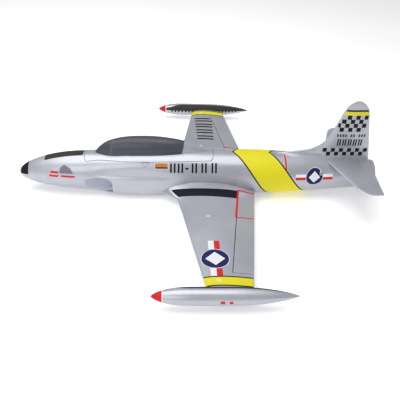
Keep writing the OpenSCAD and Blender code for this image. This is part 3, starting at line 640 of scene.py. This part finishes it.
def build_fuselage(side, name, node):
    made = body_solid(name)
    hollow = body_cavity("cavity")
    cut(hollow, recess_solid(side, 2.5))
    cut(made, hollow)
    cut(made, hatch_prism(0.5))
    cut(made, recess_solid(side))
    cut(made, duct_solid(side, 1.2, 225.5, 330))
    cut(made, box_solid("belly", [290, -22, -60], [440, 22, -49.4]))
    if side == LEFT:
        slot = [[688, -34.5, 24], [768, -44, 29.7]]
        rings = [
            [[s, y + dy, z + dz] for dy, dz in ((-2, -2), (2, -2), (2, 2), (-2, 2))] for s, y, z in slot
        ]
        cut(made, loft("slot", rings))
    half = box_solid("half", [0, min(0, 120 * side), -120], [900, max(0, 120 * side), 200])
    combine(made, half, "INTERSECT")
    silver_skin(made, node)
    return made


def build_lip(side, name):
    """Rolled foam edge round the front of the intake."""
    path = []
    for a in np.linspace(math.radians(97), 0, 22):
        s = LIP_TOP[0] + 22 * math.cos(a)
        z = LIP_TOP[1] - 19 + 19 * math.sin(a)
        path.append([s + 0.7, skin_y(s, z) - cheek_step(s, z) - 1.25, z])
    for z in np.linspace(-13, -29, 9):
        path.append([LIP_X + 0.7, skin_y(LIP_X, z) - 1.25, z])
    made = tube(name, np.array(path) * [1, side, 1], 1.25)
    return silver_skin(made, angle=50)


def arch_loft(name, rows, stations, inset=0.0, foot=0.0, n=72):
    curves = [smooth(rows, k) for k in (1, 2, 3)]
    a = np.linspace(0, math.pi, n)
    rings = []
    for s in stations:
        w, low, high = (float(c(s)) for c in curves)
        w, low, high = max(0.5, w - inset), low - foot, high - inset
        y = w * np.sign(np.cos(a)) * np.abs(np.cos(a)) ** 0.88
        z = low + (high - low) * np.sin(a) ** 0.88
        y = np.append(y, [-w, w])
        z = np.append(z, [low - 0.5, low - 0.5])
        rings.append(np.stack([np.full(len(y), s), y, z], 1))
    return loft(name, rings)


def canopy_end(name):
    """Everything aft of the slanting face where the canopy ends."""
    lean = math.radians(12)

    def tilt(p):
        x, y, z = p
        aft = 391 + x * math.cos(lean) + z * math.sin(lean)
        return [aft, y, 60 - x * math.sin(lean) + z * math.cos(lean)]

    return box_solid(name, [0, -60, -60], [200, 60, 60], tilt)


def build_hatch():
    made = body_solid("hatch_skin")
    cut(made, body_cavity("cavity"))
    combine(made, hatch_prism(-0.3), "INTERSECT")
    finish_piece(made, "hatch", silver, "silver_foam", "hatch")
    spine = arch_loft("hatch_fairing", FAIRING_ROWS, np.linspace(386, 463, 60))
    combine(spine, canopy_end("end"), "INTERSECT")
    finish_piece(spine, "hatch", silver, "silver_foam")


def build_canopy():
    stations = 184 + (397 - 184) * np.linspace(0, 1, 96) ** 1.4
    made = arch_loft("canopy_shell", CANOPY_ROWS, stations, n=96)
    cut(made, arch_loft("inside", CANOPY_ROWS, np.linspace(187, 397, 40), 1.2, 6, 48))
    cut(made, canopy_end("end"))
    cut(made, body_solid("body", n=96))
    return finish_piece(made, "hatch", canopy_tint, "canopy_tint", "canopy", angle=40)


# ---- wing ----

leading = straight(WING_ROWS, 1)
trailing = straight(WING_ROWS, 2)
fillet_height = smooth(FILLET_ROWS, 1)


def foil(n):
    """Chord fractions from the trailing edge over the top to the nose and back, and which side."""
    up = (1 + np.cos(np.linspace(0, math.pi, n))) / 2
    t = np.concatenate([up, up[-2::-1]])
    sign = np.concatenate([np.ones(n), -np.ones(n - 1)])
    shape = 5 * (0.2969 * np.sqrt(t) - 0.126 * t - 0.3516 * t**2 + 0.2843 * t**3 - 0.1036 * t**4)
    return t, sign, shape


def in_wing_frame(points, side):
    """Points of the flat wing panel, turned by the dihedral, raised and mirrored to its side."""
    x, y, z = np.moveaxis(np.asarray(points, float), -1, 0)
    turned = np.stack(
        [
            x,
            side * (y * math.cos(DIHEDRAL) - z * math.sin(DIHEDRAL)),
            y * math.sin(DIHEDRAL) + z * math.cos(DIHEDRAL) + WING_Z,
        ],
        -1,
    )
    return turned


def in_hinge_frame(points, side):
    """u aft, v outboard along the aileron's hinge, w up."""
    u, v, w = np.moveaxis(np.asarray(points, float), -1, 0)
    c, q = math.cos(HINGE_ANGLE), math.sin(HINGE_ANGLE)
    return in_wing_frame(np.stack([HINGE_X + u * c - v * q, u * q + v * c, HINGE_UP + w], -1), side)


def wing_solid(name, side):
    t, sign, shape = foil(44)
    near = [46, 50, 52, 53, 54, 55, 56, 57, 58, 59.5, 61, 62, 63]
    near += [64.5, 66, 68, 70, 72, 74, 76, 78, 81, 85, 90, 95]
    rings = []
    for y in near + list(np.linspace(102, 400, 44)):
        a, b = float(leading(y)), float(trailing(y))
        thick = 9.5 + 9.5 * (1 - y / 400)
        x = a + t * (b - a)
        z = 4.4 * t * (1 - t) + sign * (thick * shape + 0.6 * t)
        rise = np.maximum(0, fillet_height(x)) * np.clip((79 - y) / 25, 0, 1) ** 1.8
        fall = 0.3 * np.maximum(0, fillet_height(x)) * np.clip((68 - y) / 15, 0, 1) ** 2
        z = z + np.where(sign > 0, rise, -fall) * ease(t, 0, 0.03)
        rings.append(in_wing_frame(np.stack([x, np.full_like(x, y), z], -1), side))
    return loft(name, rings)


def aileron_zone(side, gap, r):
    """Everything aft of the hinge line between the aileron's two ends, with a round nose."""
    profile = [[0, -30], [90, -30], [90, 30], [0, 30]]
    profile += [[r * math.cos(a), r * math.sin(a)] for a in np.radians(np.arange(90, 271, 9))]
    rings = []
    for y in (AILERON_Y[0] - gap, AILERON_Y[1] + gap):
        ring = [[u, (y - u * math.sin(HINGE_ANGLE)) / math.cos(HINGE_ANGLE), w] for u, w in profile]
        rings.append(in_hinge_frame(ring, side))
    return loft("zone", rings)


def build_wing(side, name):
    made = wing_solid("wing_skin_" + name, side)
    flap = copy_of(made, "aileron_skin_" + name)
    cut(made, aileron_zone(side, 0.8, 6))
    combine(flap, aileron_zone(side, -0.5, 4.2), "INTERSECT")
    v = SERVO_Y / math.cos(HINGE_ANGLE)
    pocket = box_solid("pocket", [-54, v - 18, -20], [-31, v + 6, 3.2], lambda p: in_hinge_frame(p, side))
    cut(made, pocket)
    silver_skin(made, "wing_" + name)
    finish_piece(flap, "aileron_" + name, silver, "silver_foam", "aileron_" + name)
    return made, flap


def tank_radius(x):
    nose, shoulder = 88, 150
    if x < nose:
        return TANK_R * max(0.0, 1 - (1 - x / nose) ** 3) ** 0.75
    if x < shoulder:
        return TANK_R
    t = (x - shoulder) / (TANK_LEN - shoulder)
    return TANK_R * max(0.0, 1 - t**2.1) ** 0.85


def build_tank(side, name):
    along = TANK_LEN * (1 - np.cos(np.linspace(0, math.pi, 120))) / 2
    a = np.arange(96) * 2 * math.pi / 96
    rings = []
    for x in along:
        r = max(0.05, tank_radius(x))
        ring = [np.full(96, TANK_AT[0] + x), side * TANK_AT[1] + r * np.cos(a), TANK_AT[2] + r * np.sin(a)]
        rings.append(np.stack(ring, 1))
    made = loft("tank_skin_" + name, rings)
    return silver_skin(made, "tip_tank_" + name)


# ---- tail ----


def tail_solid(name):
    t, sign, shape = foil(32)
    lead, trail = smooth(TAIL_ROWS, 1), smooth(TAIL_ROWS, 2)
    half = np.concatenate([np.linspace(0, 136, 36), 136 + 27.5 * np.sin(np.linspace(0.06, math.pi / 2, 26))])
    rings = []
    for y in np.concatenate([-half[:0:-1], half]):
        d = abs(y)
        a, b = float(lead(d)), float(trail(d))
        tip = max(0.0, d - 137) / 26.5
        thick = (7.6 - d / 52) * (1 - 0.55 * tip**2)
        root = 2.4 * np.clip((30 - d) / 18, 0, 1) ** 2
        z = TAIL_Z + sign * ((thick + root) * shape + 0.5 * t)
        rings.append(np.stack([a + t * (b - a), np.full_like(t, y), z], -1))
    return loft(name, rings)


def elevator_zone(side, gap, r):
    profile = [[0, -20], [60, -20], [60, 20], [0, 20]]
    profile += [[r * math.cos(a), r * math.sin(a)] for a in np.radians(np.arange(90, 271, 9))]
    rings = []
    for y in (ELEVATOR_Y[0] - gap, ELEVATOR_Y[1] + gap):
        rings.append([[ELEVATOR_X + u, side * y, TAIL_Z + w] for u, w in profile])
    return loft("zone", rings)


def build_tail():
    made = tail_solid("tailplane_skin")
    for side, name in ((LEFT, "left"), (RIGHT, "right")):
        flap = copy_of(made, "elevator_skin_" + name)
        combine(flap, elevator_zone(side, -0.2, 2.1), "INTERSECT")
        finish_piece(flap, "elevator", silver, "silver_foam", "elevator_" + name)
    for side in (LEFT, RIGHT):
        cut(made, elevator_zone(side, 0.8, 3.6))
    silver_skin(made, "tailplane")


def build_fin():
    t, sign, shape = foil(40)
    curves = [smooth(FIN_ROWS, k) for k in (1, 2, 3)]
    heights = np.concatenate([np.arange(38, 54, 2), np.arange(54, 80, 0.5), np.arange(80, 190, 2.5)])
    heights = np.concatenate([heights, 190 + 6 * np.sin(np.linspace(0.1, math.pi / 2, 14))])
    rings = []
    for z in heights:
        a, b, thick = (float(c(z)) for c in curves)
        x = a + t * (b - a)
        above = z - np.array([body_top(min(s, BODY_LEN)) for s in x])
        foot = 6.0 * np.clip((9 - above) / 9, 0, 1.4) ** 2 * ease(t, 0, 0.25) * (1 - ease(t, 0.9, 1))
        y = sign * (thick * shape + 0.6 * t + foot)
        rings.append(np.stack([x, y, np.full_like(x, z)], -1))
    made = loft("fin_skin", rings)
    return silver_skin(made, "fin")


def build_saddle():
    """Fairing under the fin and tailplane."""
    width, top = smooth(SADDLE_ROWS, 1), smooth(SADDLE_ROWS, 2)
    a = np.arange(64) * 2 * math.pi / 64
    rings = []
    for s in np.linspace(SADDLE_ROWS[0][0], SADDLE_ROWS[-1][0], 48):
        w, h = float(width(s)), float(top(s)) - 20
        rings.append(np.stack([np.full(64, s), w * np.cos(a), 20 + h * np.sin(a)], 1))
    return silver_skin(loft("tail_fairing", rings))


build_nose()
hull_left = build_fuselage(LEFT, "fuselage_skin_left", "fuselage_left")
hull_right = build_fuselage(RIGHT, "fuselage_skin_right", "fuselage_right")
build_lip(LEFT, "intake_lip_left")
build_lip(RIGHT, "intake_lip_right")
build_hatch()
canopy = build_canopy()
wing_left, flap_left = build_wing(LEFT, "left")
wing_right, flap_right = build_wing(RIGHT, "right")
build_tank(LEFT, "left")
build_tank(RIGHT, "right")
build_tail()
fin = build_fin()
build_saddle()

# ---- painted markings ----


def along_ray(target, view, side=1):
    """Maps flat marking points onto a mesh, seen along one axis: 'side' gives (s, z), 'top' (s, y)."""
    mesh = target.data
    tree = BVHTree.FromPolygons([v.co for v in mesh.vertices], [p.vertices for p in mesh.polygons])
    direction = Vector((0, -side, 0)) if view == "side" else Vector((0, 0, -side))

    def surface(a, b):
        flat = [a, 400 * side, b] if view == "side" else [a, b, 400 * side]
        hit, normal, _, _ = tree.ray_cast(Vector(place(flat)), direction)
        if hit is None:
            return None
        if normal.dot(direction) > 0:
            normal = -normal
        return hit, normal

    return surface


def round_body(s, turn):
    """Point of the fuselage skin at a station and an angle from the top, to starboard."""
    w, mid, rise, drop, n_up, n_low = body_section(s)
    a = math.radians(turn)
    up = math.cos(a)
    n, h = (n_up, rise) if up >= 0 else (n_low, drop)
    y = w * math.copysign(abs(math.sin(a)) ** (2 / n), math.sin(a))
    z = mid + h * math.copysign(abs(up) ** (2 / n), up)
    y -= math.copysign(float(cheek_step(s, z)), y) if y else 0
    normal = Vector((0, y / w**2, (z - mid) / h**2)).normalized()
    return Vector(place([s, y, z])), normal


def round_flank(side):
    """Point of the fuselage's side at a station and a height, as if no slot or seam were cut in it."""

    def skin(s, z):
        return skin_y(s, z) - float(cheek_step(s, z))

    def surface(s, z):
        along = (skin(s + 0.5, z) - skin(s - 0.5, z)) * MM
        up = (skin(s, z + 0.5) - skin(s, z - 0.5)) * MM
        normal = Vector((-along, side * MM, -up)).normalized()
        return Vector(place([s, side * skin(s, z), z])), normal

    return surface


def round_tank(side):
    """Point of a tank's skin at a distance from its tip and an angle up from inboard."""

    def surface(x, turn):
        r = tank_radius(x)
        a = math.radians(turn)
        slope = (tank_radius(x + 0.5) - tank_radius(x - 0.5)) if x > 1 else 1.0
        normal = Vector((-slope, -side * math.cos(a), math.sin(a))).normalized()
        point = [TANK_AT[0] + x, side * (TANK_AT[1] - r * math.cos(a)), TANK_AT[2] + r * math.sin(a)]
        return Vector(place(point)), normal

    return surface


def marking(name, outlines, surface, look, steps, lift=0.14, thick=0.3, body="airframe"):
    """Thin coats of paint laid on a skin, one closed plate for each flat outline."""
    bm = bmesh.new()
    for outline in outlines:
        bm.faces.new([bm.verts.new((a, b, 0)) for a, b in outline])
    bmesh.ops.remove_doubles(bm, verts=bm.verts[:], dist=1e-3)
    for axis, step in enumerate(steps):
        values = [v.co[axis] for v in bm.verts]
        for k in range(math.floor(min(values) / step) + 1, math.ceil(max(values) / step)):
            at, way = [0, 0, 0], [0, 0, 0]
            at[axis], way[axis] = k * step, 1
            geometry = bm.verts[:] + bm.edges[:] + bm.faces[:]
            bmesh.ops.bisect_plane(bm, geom=geometry, plane_co=at, plane_no=way, dist=1e-4)
    bmesh.ops.triangulate(bm, faces=bm.faces[:])
    lost = []
    ups = {}
    for v in bm.verts:
        found = surface(v.co.x, v.co.y)
        if found is None:
            lost.append(v)
            continue
        v.co = found[0] + found[1] * lift * MM
        ups[v] = found[1]
    bmesh.ops.delete(bm, geom=lost, context="VERTS")
    bm.verts.index_update()
    top = list(bm.verts)
    faces = [tuple(v.index for v in f.verts) for f in bm.faces]
    rim = [tuple(v.index for v in e.verts) for e in bm.edges if len(e.link_faces) == 1]
    n = len(top)
    points = [tuple(v.co) for v in top] + [tuple(v.co - ups[v] * thick * MM) for v in top]
    bm.free()
    faces += [tuple(i + n for i in reversed(f)) for f in faces]
    faces += [(a, b, b + n, a + n) for a, b in rim]
    mesh = bpy.data.meshes.new(name)
    mesh.from_pydata(points, [], faces)
    made = bpy.data.objects.new(name, mesh)
    bpy.context.scene.collection.objects.link(made)
    face_outwards(made)
    made.data.shade_smooth()
    made.data.set_sharp_from_angle(angle=math.radians(40))
    made.data.materials.append(look)
    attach(made, body)
    return made


def rectangle(a0, b0, a1, b1, slant=0.0):
    """Corners of an upright rectangle whose top may be shifted sideways."""
    return [[a0, b0], [a1, b0], [a1 + slant, b1], [a0 + slant, b1]]


def disc(a, b, r, n=40):
    turns = np.linspace(0, 2 * math.pi, n, endpoint=False)
    return [[a + r * math.cos(t), b + r * math.sin(t)] for t in turns]


def ring_plates(a, b, r_in, r_out, n=32):
    """Quadrilaterals that make up a flat ring."""
    turns = np.linspace(0, 2 * math.pi, n + 1)[:-1]
    plates = []
    for t0, t1 in zip(turns, np.roll(turns, -1)):
        corners = ((r_in, t0), (r_out, t0), (r_out, t1), (r_in, t1))
        plates.append([[a + r * math.cos(t), b + r * math.sin(t)] for r, t in corners])
    return plates


def ribbon(path, width):
    """Quadrilaterals of a ribbon of even width along a path."""
    path = np.asarray(path, float)
    tangents = np.gradient(path, axis=0)
    across = np.stack([-tangents[:, 1], tangents[:, 0]], 1)
    across *= width / 2 / np.linalg.norm(across, axis=1)[:, None]
    left, right = path + across, path - across
    return [[left[i], left[i + 1], right[i + 1], right[i]] for i in range(len(path) - 1)]


def band(edge_a, edge_b, turns):
    """Quadrilaterals between two edges given as functions of the angle round the body."""
    plates = []
    for t0, t1 in zip(turns[:-1], turns[1:]):
        plates.append([[edge_a(t0), t0], [edge_b(t0), t0], [edge_b(t1), t1], [edge_a(t1), t1]])
    return plates


def slanting(start, slope):
    return lambda turn: start + slope * abs(turn)


def diamond(a, b, reach):
    """Plain square standing on one corner."""
    return [[a - reach, b], [a, b - reach], [a + reach, b], [a, b + reach]]


def marker(pattern, surface, steps, way=1):
    """Function that lays a tagged marking on the airframe; way is -1 where the outline is mirrored."""

    def mark(tag, outlines, look, lift=0.14, surface=surface, steps=steps):
        turned = [[[a, way * b] for a, b in outline] for outline in outlines]
        return marking(pattern.format(tag), turned, surface, look, steps, lift)

    return mark


def paint_bands():
    """Yellow band with thin black edges slanting aft down each side, and the ring behind it."""
    all_round = np.arange(-180, 181, 6)
    yellow_edges = slanting(515.5, 0.65), slanting(602, 0.66)
    marking("band_yellow", band(*yellow_edges, all_round), round_body, yellow, (8, 6))
    for name, start, slope in (("front", 512.8, 0.65), ("rear", 601.5, 0.66)):
        edges = slanting(start, slope), slanting(start + 4, slope)
        plates = band(*edges, all_round)
        marking("band_edge_" + name, plates, round_body, black, (8, 6), 0.2)
    upper = np.arange(-60, 61, 5)
    ring = (("red", 638, 642.4, red), ("fore", 636, 638, pale), ("aft", 642.4, 644.4, pale))
    for name, start, end, look in ring:
        edges = slanting(start, 0.03), slanting(end, 0.03)
        marking("ring_" + name, band(*edges, upper), round_body, look, (4, 5))


def paint_nose():
    """Dull panel ahead of the hatch, and the nose tip's upper half."""
    panel = [[NOSE_CONE_LEN + 0.4, -22], [90, -19], [120, -16.5], [150, -15], [156.5, -13.5]]
    panel += [[s, -turn] for s, turn in reversed(panel)]
    marking("anti_glare_panel", [panel], round_body, anti_glare_and_gap_shade, (6, 4))
    tip = [[0.6, -89], [6, -88], [14, -86], [25, -84], [25, 0], [25, 84], [14, 86], [6, 88], [0.6, 89]]
    marking("nose_tip_patch", [tip], round_body, black, (3, 6))


def paint_placards(mark):
    """Row of plain bars below the hatch, a two-colour placard and a small open triangle."""
    low, high, width = 27, 46.5, 4.4
    bars = [rectangle(399, 34.5, 406, 38.5)]
    for start in (363, 381, 414, 437, 461):
        bars += [rectangle(start, low, start + width, high), rectangle(start + 8.6, low, start + 13, high)]
    mark("block_row", bars, black)
    mark("placard_border", [rectangle(326.4, 34.5, 358.8, 47.8)], white, 0.10)
    mark("placard_top", [rectangle(327.6, 39.5, 357.6, 46.8)], orange, 0.2)
    mark("placard_foot", [rectangle(327.6, 35.5, 357.6, 39.5)], brown, 0.2)
    triangle = ribbon([[297, 47.5], [305, 37], [313, 47.5]], 1.0)
    mark("triangle", triangle + [rectangle(297, 46.9, 313, 47.9)], groove)


def paint_flank_disc(mark, cut_flank):
    """Disc with a plain diamond, and a two-tone stripe fore and aft of it."""
    centre, middle, radius = 712.5, 16.5, 20.5
    mark("disc_rim", [disc(centre, middle, radius + 1)], white, 0.10, cut_flank)
    mark("disc", [disc(centre, middle, radius)], navy, 0.2, cut_flank)
    mark("disc_diamond", [diamond(centre, middle, 14)], white, 0.26)
    whites, reds = [], []
    for way in (-1, 1):
        near, far = centre + way * (radius + 1), centre + way * 46
        whites.append(rectangle(near, middle, far, middle + 7))
        reds.append(rectangle(near, middle - 7, far, middle))
    mark("stripe_white", whites, white)
    mark("stripe_red", reds, red)


def paint_recess_with_painted_shade(name, cut_flank):
    """Rougher paint inside the recess ahead of the intake, its darker bluish grey a painted shade of the
    recess.
    """
    low = [[160, -17], [168, -21], [178, -24], [190, -26], [205, -27], [223.5, -27]]
    high = [[223.5, -12], [221, -6], [216, -0.5], [210, 3], [203, 4], [190, 3]]
    high += [[176, 0.5], [166, -2], [160, -5]]
    marking("recess_" + name, [low + high], cut_flank, rough_and_shaded_recess_paint, (2, 2), 0.3, 0.6)


def paint_flank(side, name, hull):
    """Every marking on one side of the fuselage."""
    mark = marker("{}_" + name, round_flank(side), (5, 5))
    cut_flank = along_ray(hull, "side", side)
    paint_placards(mark)
    paint_flank_disc(mark, cut_flank)
    paint_recess_with_painted_shade(name, cut_flank)
    flashes = [rectangle(76, 4, 98, 9, 3), rectangle(104, 5, 137, 10, 3), rectangle(80, 13, 98, 18, 3)]
    mark("nose_flash", flashes, red)
    mark("nose_patch", [[[102, 14], [136, 15], [128, 27], [114, 33], [104, 26]]], groove)
    mark("joint_lines", [rectangle(281.6, 0, 282.3, 44), rectangle(327.6, -10, 328.3, 33)], pale, 0.08)


def paint_windscreen_seam(side, name, canopy):
    glass = along_ray(canopy, "side", side)
    line = ribbon([[221, 52], [223, 62], [225, 72], [227, 80], [228, 84]], 1.3)
    marking("canopy_seam_" + name, line, glass, seam, (5, 4), body="hatch")


FIN_FRONT, FIN_BACK = 3.5, 2.0  # bare margins along the fin's two edges
fin_lead, fin_trail = smooth(FIN_ROWS, 1), smooth(FIN_ROWS, 2)


def fin_strip(low, high):
    """Outline across the fin between two heights."""
    heights = np.linspace(low, high, 5)
    edge = [[float(fin_lead(z)) + FIN_FRONT, z] for z in heights]
    return edge + [[float(fin_trail(z)) - FIN_BACK, z] for z in reversed(heights)]


def fin_checks():
    """Dark and light squares: four rows under the tip and two rows over the fuselage."""
    darks, lights = [], []
    for row in range(4):
        high = 161.5 - 10.5 * row
        limit = float(fin_trail(high)) - FIN_BACK
        for k in range(9):
            end = 829 - row - 10.3 * k
            start = max(end - 10.3, float(fin_lead(high - 5)) + FIN_FRONT)
            if min(end, limit) - start > 1.5:
                patch = rectangle(start, high - 10.5, min(end, limit), high)
                (lights if (row + k) % 2 else darks).append(patch)
    for row in range(2):
        high = 75 - 10.2 * row
        for k in range(11):
            start = 733 + 10.1 * k
            patch = rectangle(start, high - 10.2, start + 10.1, high)
            (lights if (row + k) % 2 else darks).append(patch)
    return darks, lights


def paint_fin(side, name, fin):
    """Tip stripe, two fields of checks, a row of ticks and a row of plain bars."""
    mark = marker("fin_{}_" + name, along_ray(fin, "side", side), (2.5, 5))
    mark("stripe_yellow", [fin_strip(162, 171)], yellow)
    mark("stripe_black", [fin_strip(171, 175.2)], black)
    darks, lights = fin_checks()
    mark("checks_dark", darks, black)
    mark("checks_light", lights, pale, 0.10)
    ticks = [rectangle(761 + 6.6 * k, 105.5, 765 + 6.6 * k, 112.5) for k in range(11) if k not in (4, 7)]
    mark("ticks", ticks, anti_glare_and_gap_shade)
    bars = []
    for x in range(0, 65, 13):
        bars += [rectangle(765 + x, 82, 768.4 + x, 99.5), rectangle(770.6 + x, 82, 774 + x, 99.5)]
    mark("bars", bars, black)


def paint_wing_lines(mark):
    """Walkway, the outline of the flap, and the yellow tip band with its dark edges."""
    inner = [[366, 60.5], [380, 61.5], [400, 62.5], [425, 63], [455, 63], [485, 62.5], [505, 62]]
    outer = [[522.5, 84.5], [505, 83.5], [482, 82.5], [458, 82], [435, 82], [416, 82], [399, 81.5]]
    mark("walkway", [inner + [[526, 61.5]] + outer + [[384.5, 81]]], black, steps=(5, 2.5))
    mark("flap_line", ribbon([[527.5, 60], [520, 112], [512.5, 161.8]], 5), red)
    mark("flap_line_root", ribbon([[526, 60.5], [545, 60.8], [567, 61.5]], 3), red)
    mark("flap_line_end", ribbon([[511, 161.6], [532, 161.4], [553, 161.2]], 3.2), red)
    tip = [[428.1, 358.5], [432.1, 381.5], [523, 381.5], [526.4, 358.5]]
    mark("tip_band", [tip], yellow, 0.16, steps=(1.2, 4))
    for tag, y in (("inner", 357), ("outer", 381.2)):
        front, back = float(leading(y)) + 1.2, float(trailing(y)) - 1.5
        line = [[front, y], [front + 0.4, y + 3], [back - 0.4, y + 3], [back, y]]
        mark("tip_line_" + tag, [line], black, 0.24, steps=(1.2, 4))


def paint_wing_disc(mark):
    """Disc with a plain diamond, and a two-tone stripe inboard and outboard of it."""
    centre, middle, radius = 455, 306, 28
    mark("disc", [disc(centre, middle, radius)], navy, 0.2)
    mark("disc_rim", [disc(centre, middle, radius + 1.2)], white, 0.1)
    mark("disc_diamond", [diamond(centre, middle, 20)], white, 0.26)
    whites, reds = [], []
    for way in (-1, 1):
        near, far = sorted((middle + way * (radius + 1), middle + way * 56))
        whites.append(rectangle(centre - 12, near, centre, far))
        reds.append(rectangle(centre, near, centre + 12, far))
    mark("stripe_white", whites, white)
    mark("stripe_red", reds, red)


def paint_wing_bars(mark):
    """Four pairs of plain bars."""
    bars = []
    for k in range(4):
        for y in (200 + 37 * k, 216 + 37 * k):
            bars.append(rectangle(440 - k, y, 486 + k, y + 7))
    mark("bars", bars, black)


def paint_wing(side, name, wing, flap):
    """Every marking on one wing, and a dark ribbon of painted shade in the hinge gap ahead of its aileron."""
    mark = marker("wing_{}_" + name, along_ray(wing, "top", 1), (5, 3), side)
    paint_wing_lines(mark)
    if side == LEFT:
        paint_wing_disc(mark)
    else:
        paint_wing_bars(mark)
    # Painted shade: a dark ribbon laid on the aileron's nose inside the hinge gap, darkening the gap where
    # shade falls.
    hinge = [[HINGE_X - 3.3 - math.tan(HINGE_ANGLE) * y, side * y] for y in np.linspace(164, 346, 30)]
    aileron = along_ray(flap, "top", 1)
    gap = ribbon(hinge, 2.4)
    marking("hinge_gap_" + name, gap, aileron, anti_glare_and_gap_shade, (0.6, 5), 0.25, body="aileron_" + name)
    for tag, s, y in (("inner", 449, 162), ("outer", 458, 369)):
        mark("round_mark_" + tag, ring_plates(s, y, 2.4, 3.8, 20), white, 0.3)


def paint_tank(side, name):
    """Red nose, white ring, dark quadrant with teeth, and small red panels outboard."""
    mark = marker("tank_{}_" + name, round_tank(side), (5, 8))
    mark("nose", [rectangle(0.3, -180, 21, 180)], red, steps=(1.5, 7.5))
    mark("ring", [rectangle(21, -180, 22.6, 180)], white, steps=(4, 7.5))
    upper_edge = [[x, 40 + 38 * float(ease(x, 24, 72))] for x in np.linspace(23, 279, 28)]
    shade = [[x, 8] for x in np.linspace(279, 23, 28)] + upper_edge
    mark("dark", [shade], olive)
    teeth = []
    for k in range(20):
        x = 38 + 10.5 * k
        teeth.append([[x, 12], [x + 1.5, -10], [x + 5, -10], [x + 6.5, 12]])
    mark("teeth", teeth, black, 0.2)
    mark("panels", [rectangle(129, 168, 137.5, 189), rectangle(145.5, 170, 152.5, 189)], red, 0.2)


paint_bands()
paint_nose()
paint_flank(LEFT, "port", hull_left)
paint_flank(RIGHT, "starboard", hull_right)
paint_windscreen_seam(LEFT, "port", canopy)
paint_windscreen_seam(RIGHT, "starboard", canopy)
paint_fin(LEFT, "port", fin)
paint_fin(RIGHT, "starboard", fin)
paint_wing(LEFT, "left", wing_left, flap_left)
paint_wing(RIGHT, "right", wing_right, flap_right)
paint_tank(LEFT, "left")
paint_tank(RIGHT, "right")

# ---- floor, light and camera ----


def build_stage():
    low, high = cad_box
    bpy.ops.mesh.primitive_plane_add(size=12, location=((low.x + high.x) / 2, 0, low.z))
    floor = bpy.context.object
    floor.name = "floor"
    n = Nodes("floor_paper")
    paper = n.mix(n.remap(n.noise(3.0), 0.0, 1.0), (0.93, 0.93, 0.94, 1), (0.96, 0.96, 0.96, 1))
    look = n.set(Base_Color=paper, Roughness=0.9, Emission_Color=(1, 1, 1, 1), Emission_Strength=0.28)
    floor.data.materials.append(look)


def area_light(name, location, target, size, power):
    data = bpy.data.lights.new(name, "AREA")
    data.shape = "SQUARE"
    data.size = size
    data.energy = power
    made = bpy.data.objects.new(name, data)
    bpy.context.scene.collection.objects.link(made)
    made.location = location
    made.rotation_mode = "QUATERNION"
    made.rotation_quaternion = (Vector(target) - Vector(location)).to_track_quat("-Z", "Y")


def build_lights():
    world = bpy.data.worlds.new("studio")
    bpy.context.scene.world = world
    world.use_nodes = True
    world.node_tree.nodes["Background"].inputs["Color"].default_value = (1, 1, 1, 1)
    world.node_tree.nodes["Background"].inputs["Strength"].default_value = 0.38
    area_light("softbox", (-0.45, 0.0, 2.0), (0, 0, 0), 2.2, 40)
    area_light("fill", (-1.0, -2.2, 1.3), (0, 0, 0.05), 1.6, 15)


def build_camera():
    eye, aim, roll = Vector((-0.0767, -1.0881, 0.7222)), Vector((0.0074, 0, -0.0348)), 3.149
    data = bpy.data.cameras.new("camera")
    data.lens = 46.43
    data.sensor_width = 36
    made = bpy.data.objects.new("camera", data)
    bpy.context.scene.collection.objects.link(made)
    made.location = eye
    made.rotation_mode = "QUATERNION"
    turn = Quaternion((0, 0, 1), math.radians(roll))
    made.rotation_quaternion = (aim - eye).to_track_quat("-Z", "Y") @ turn
    bpy.context.scene.camera = made


build_stage()
build_lights()
build_camera()
bpy.context.scene.view_settings.view_transform = "Standard"
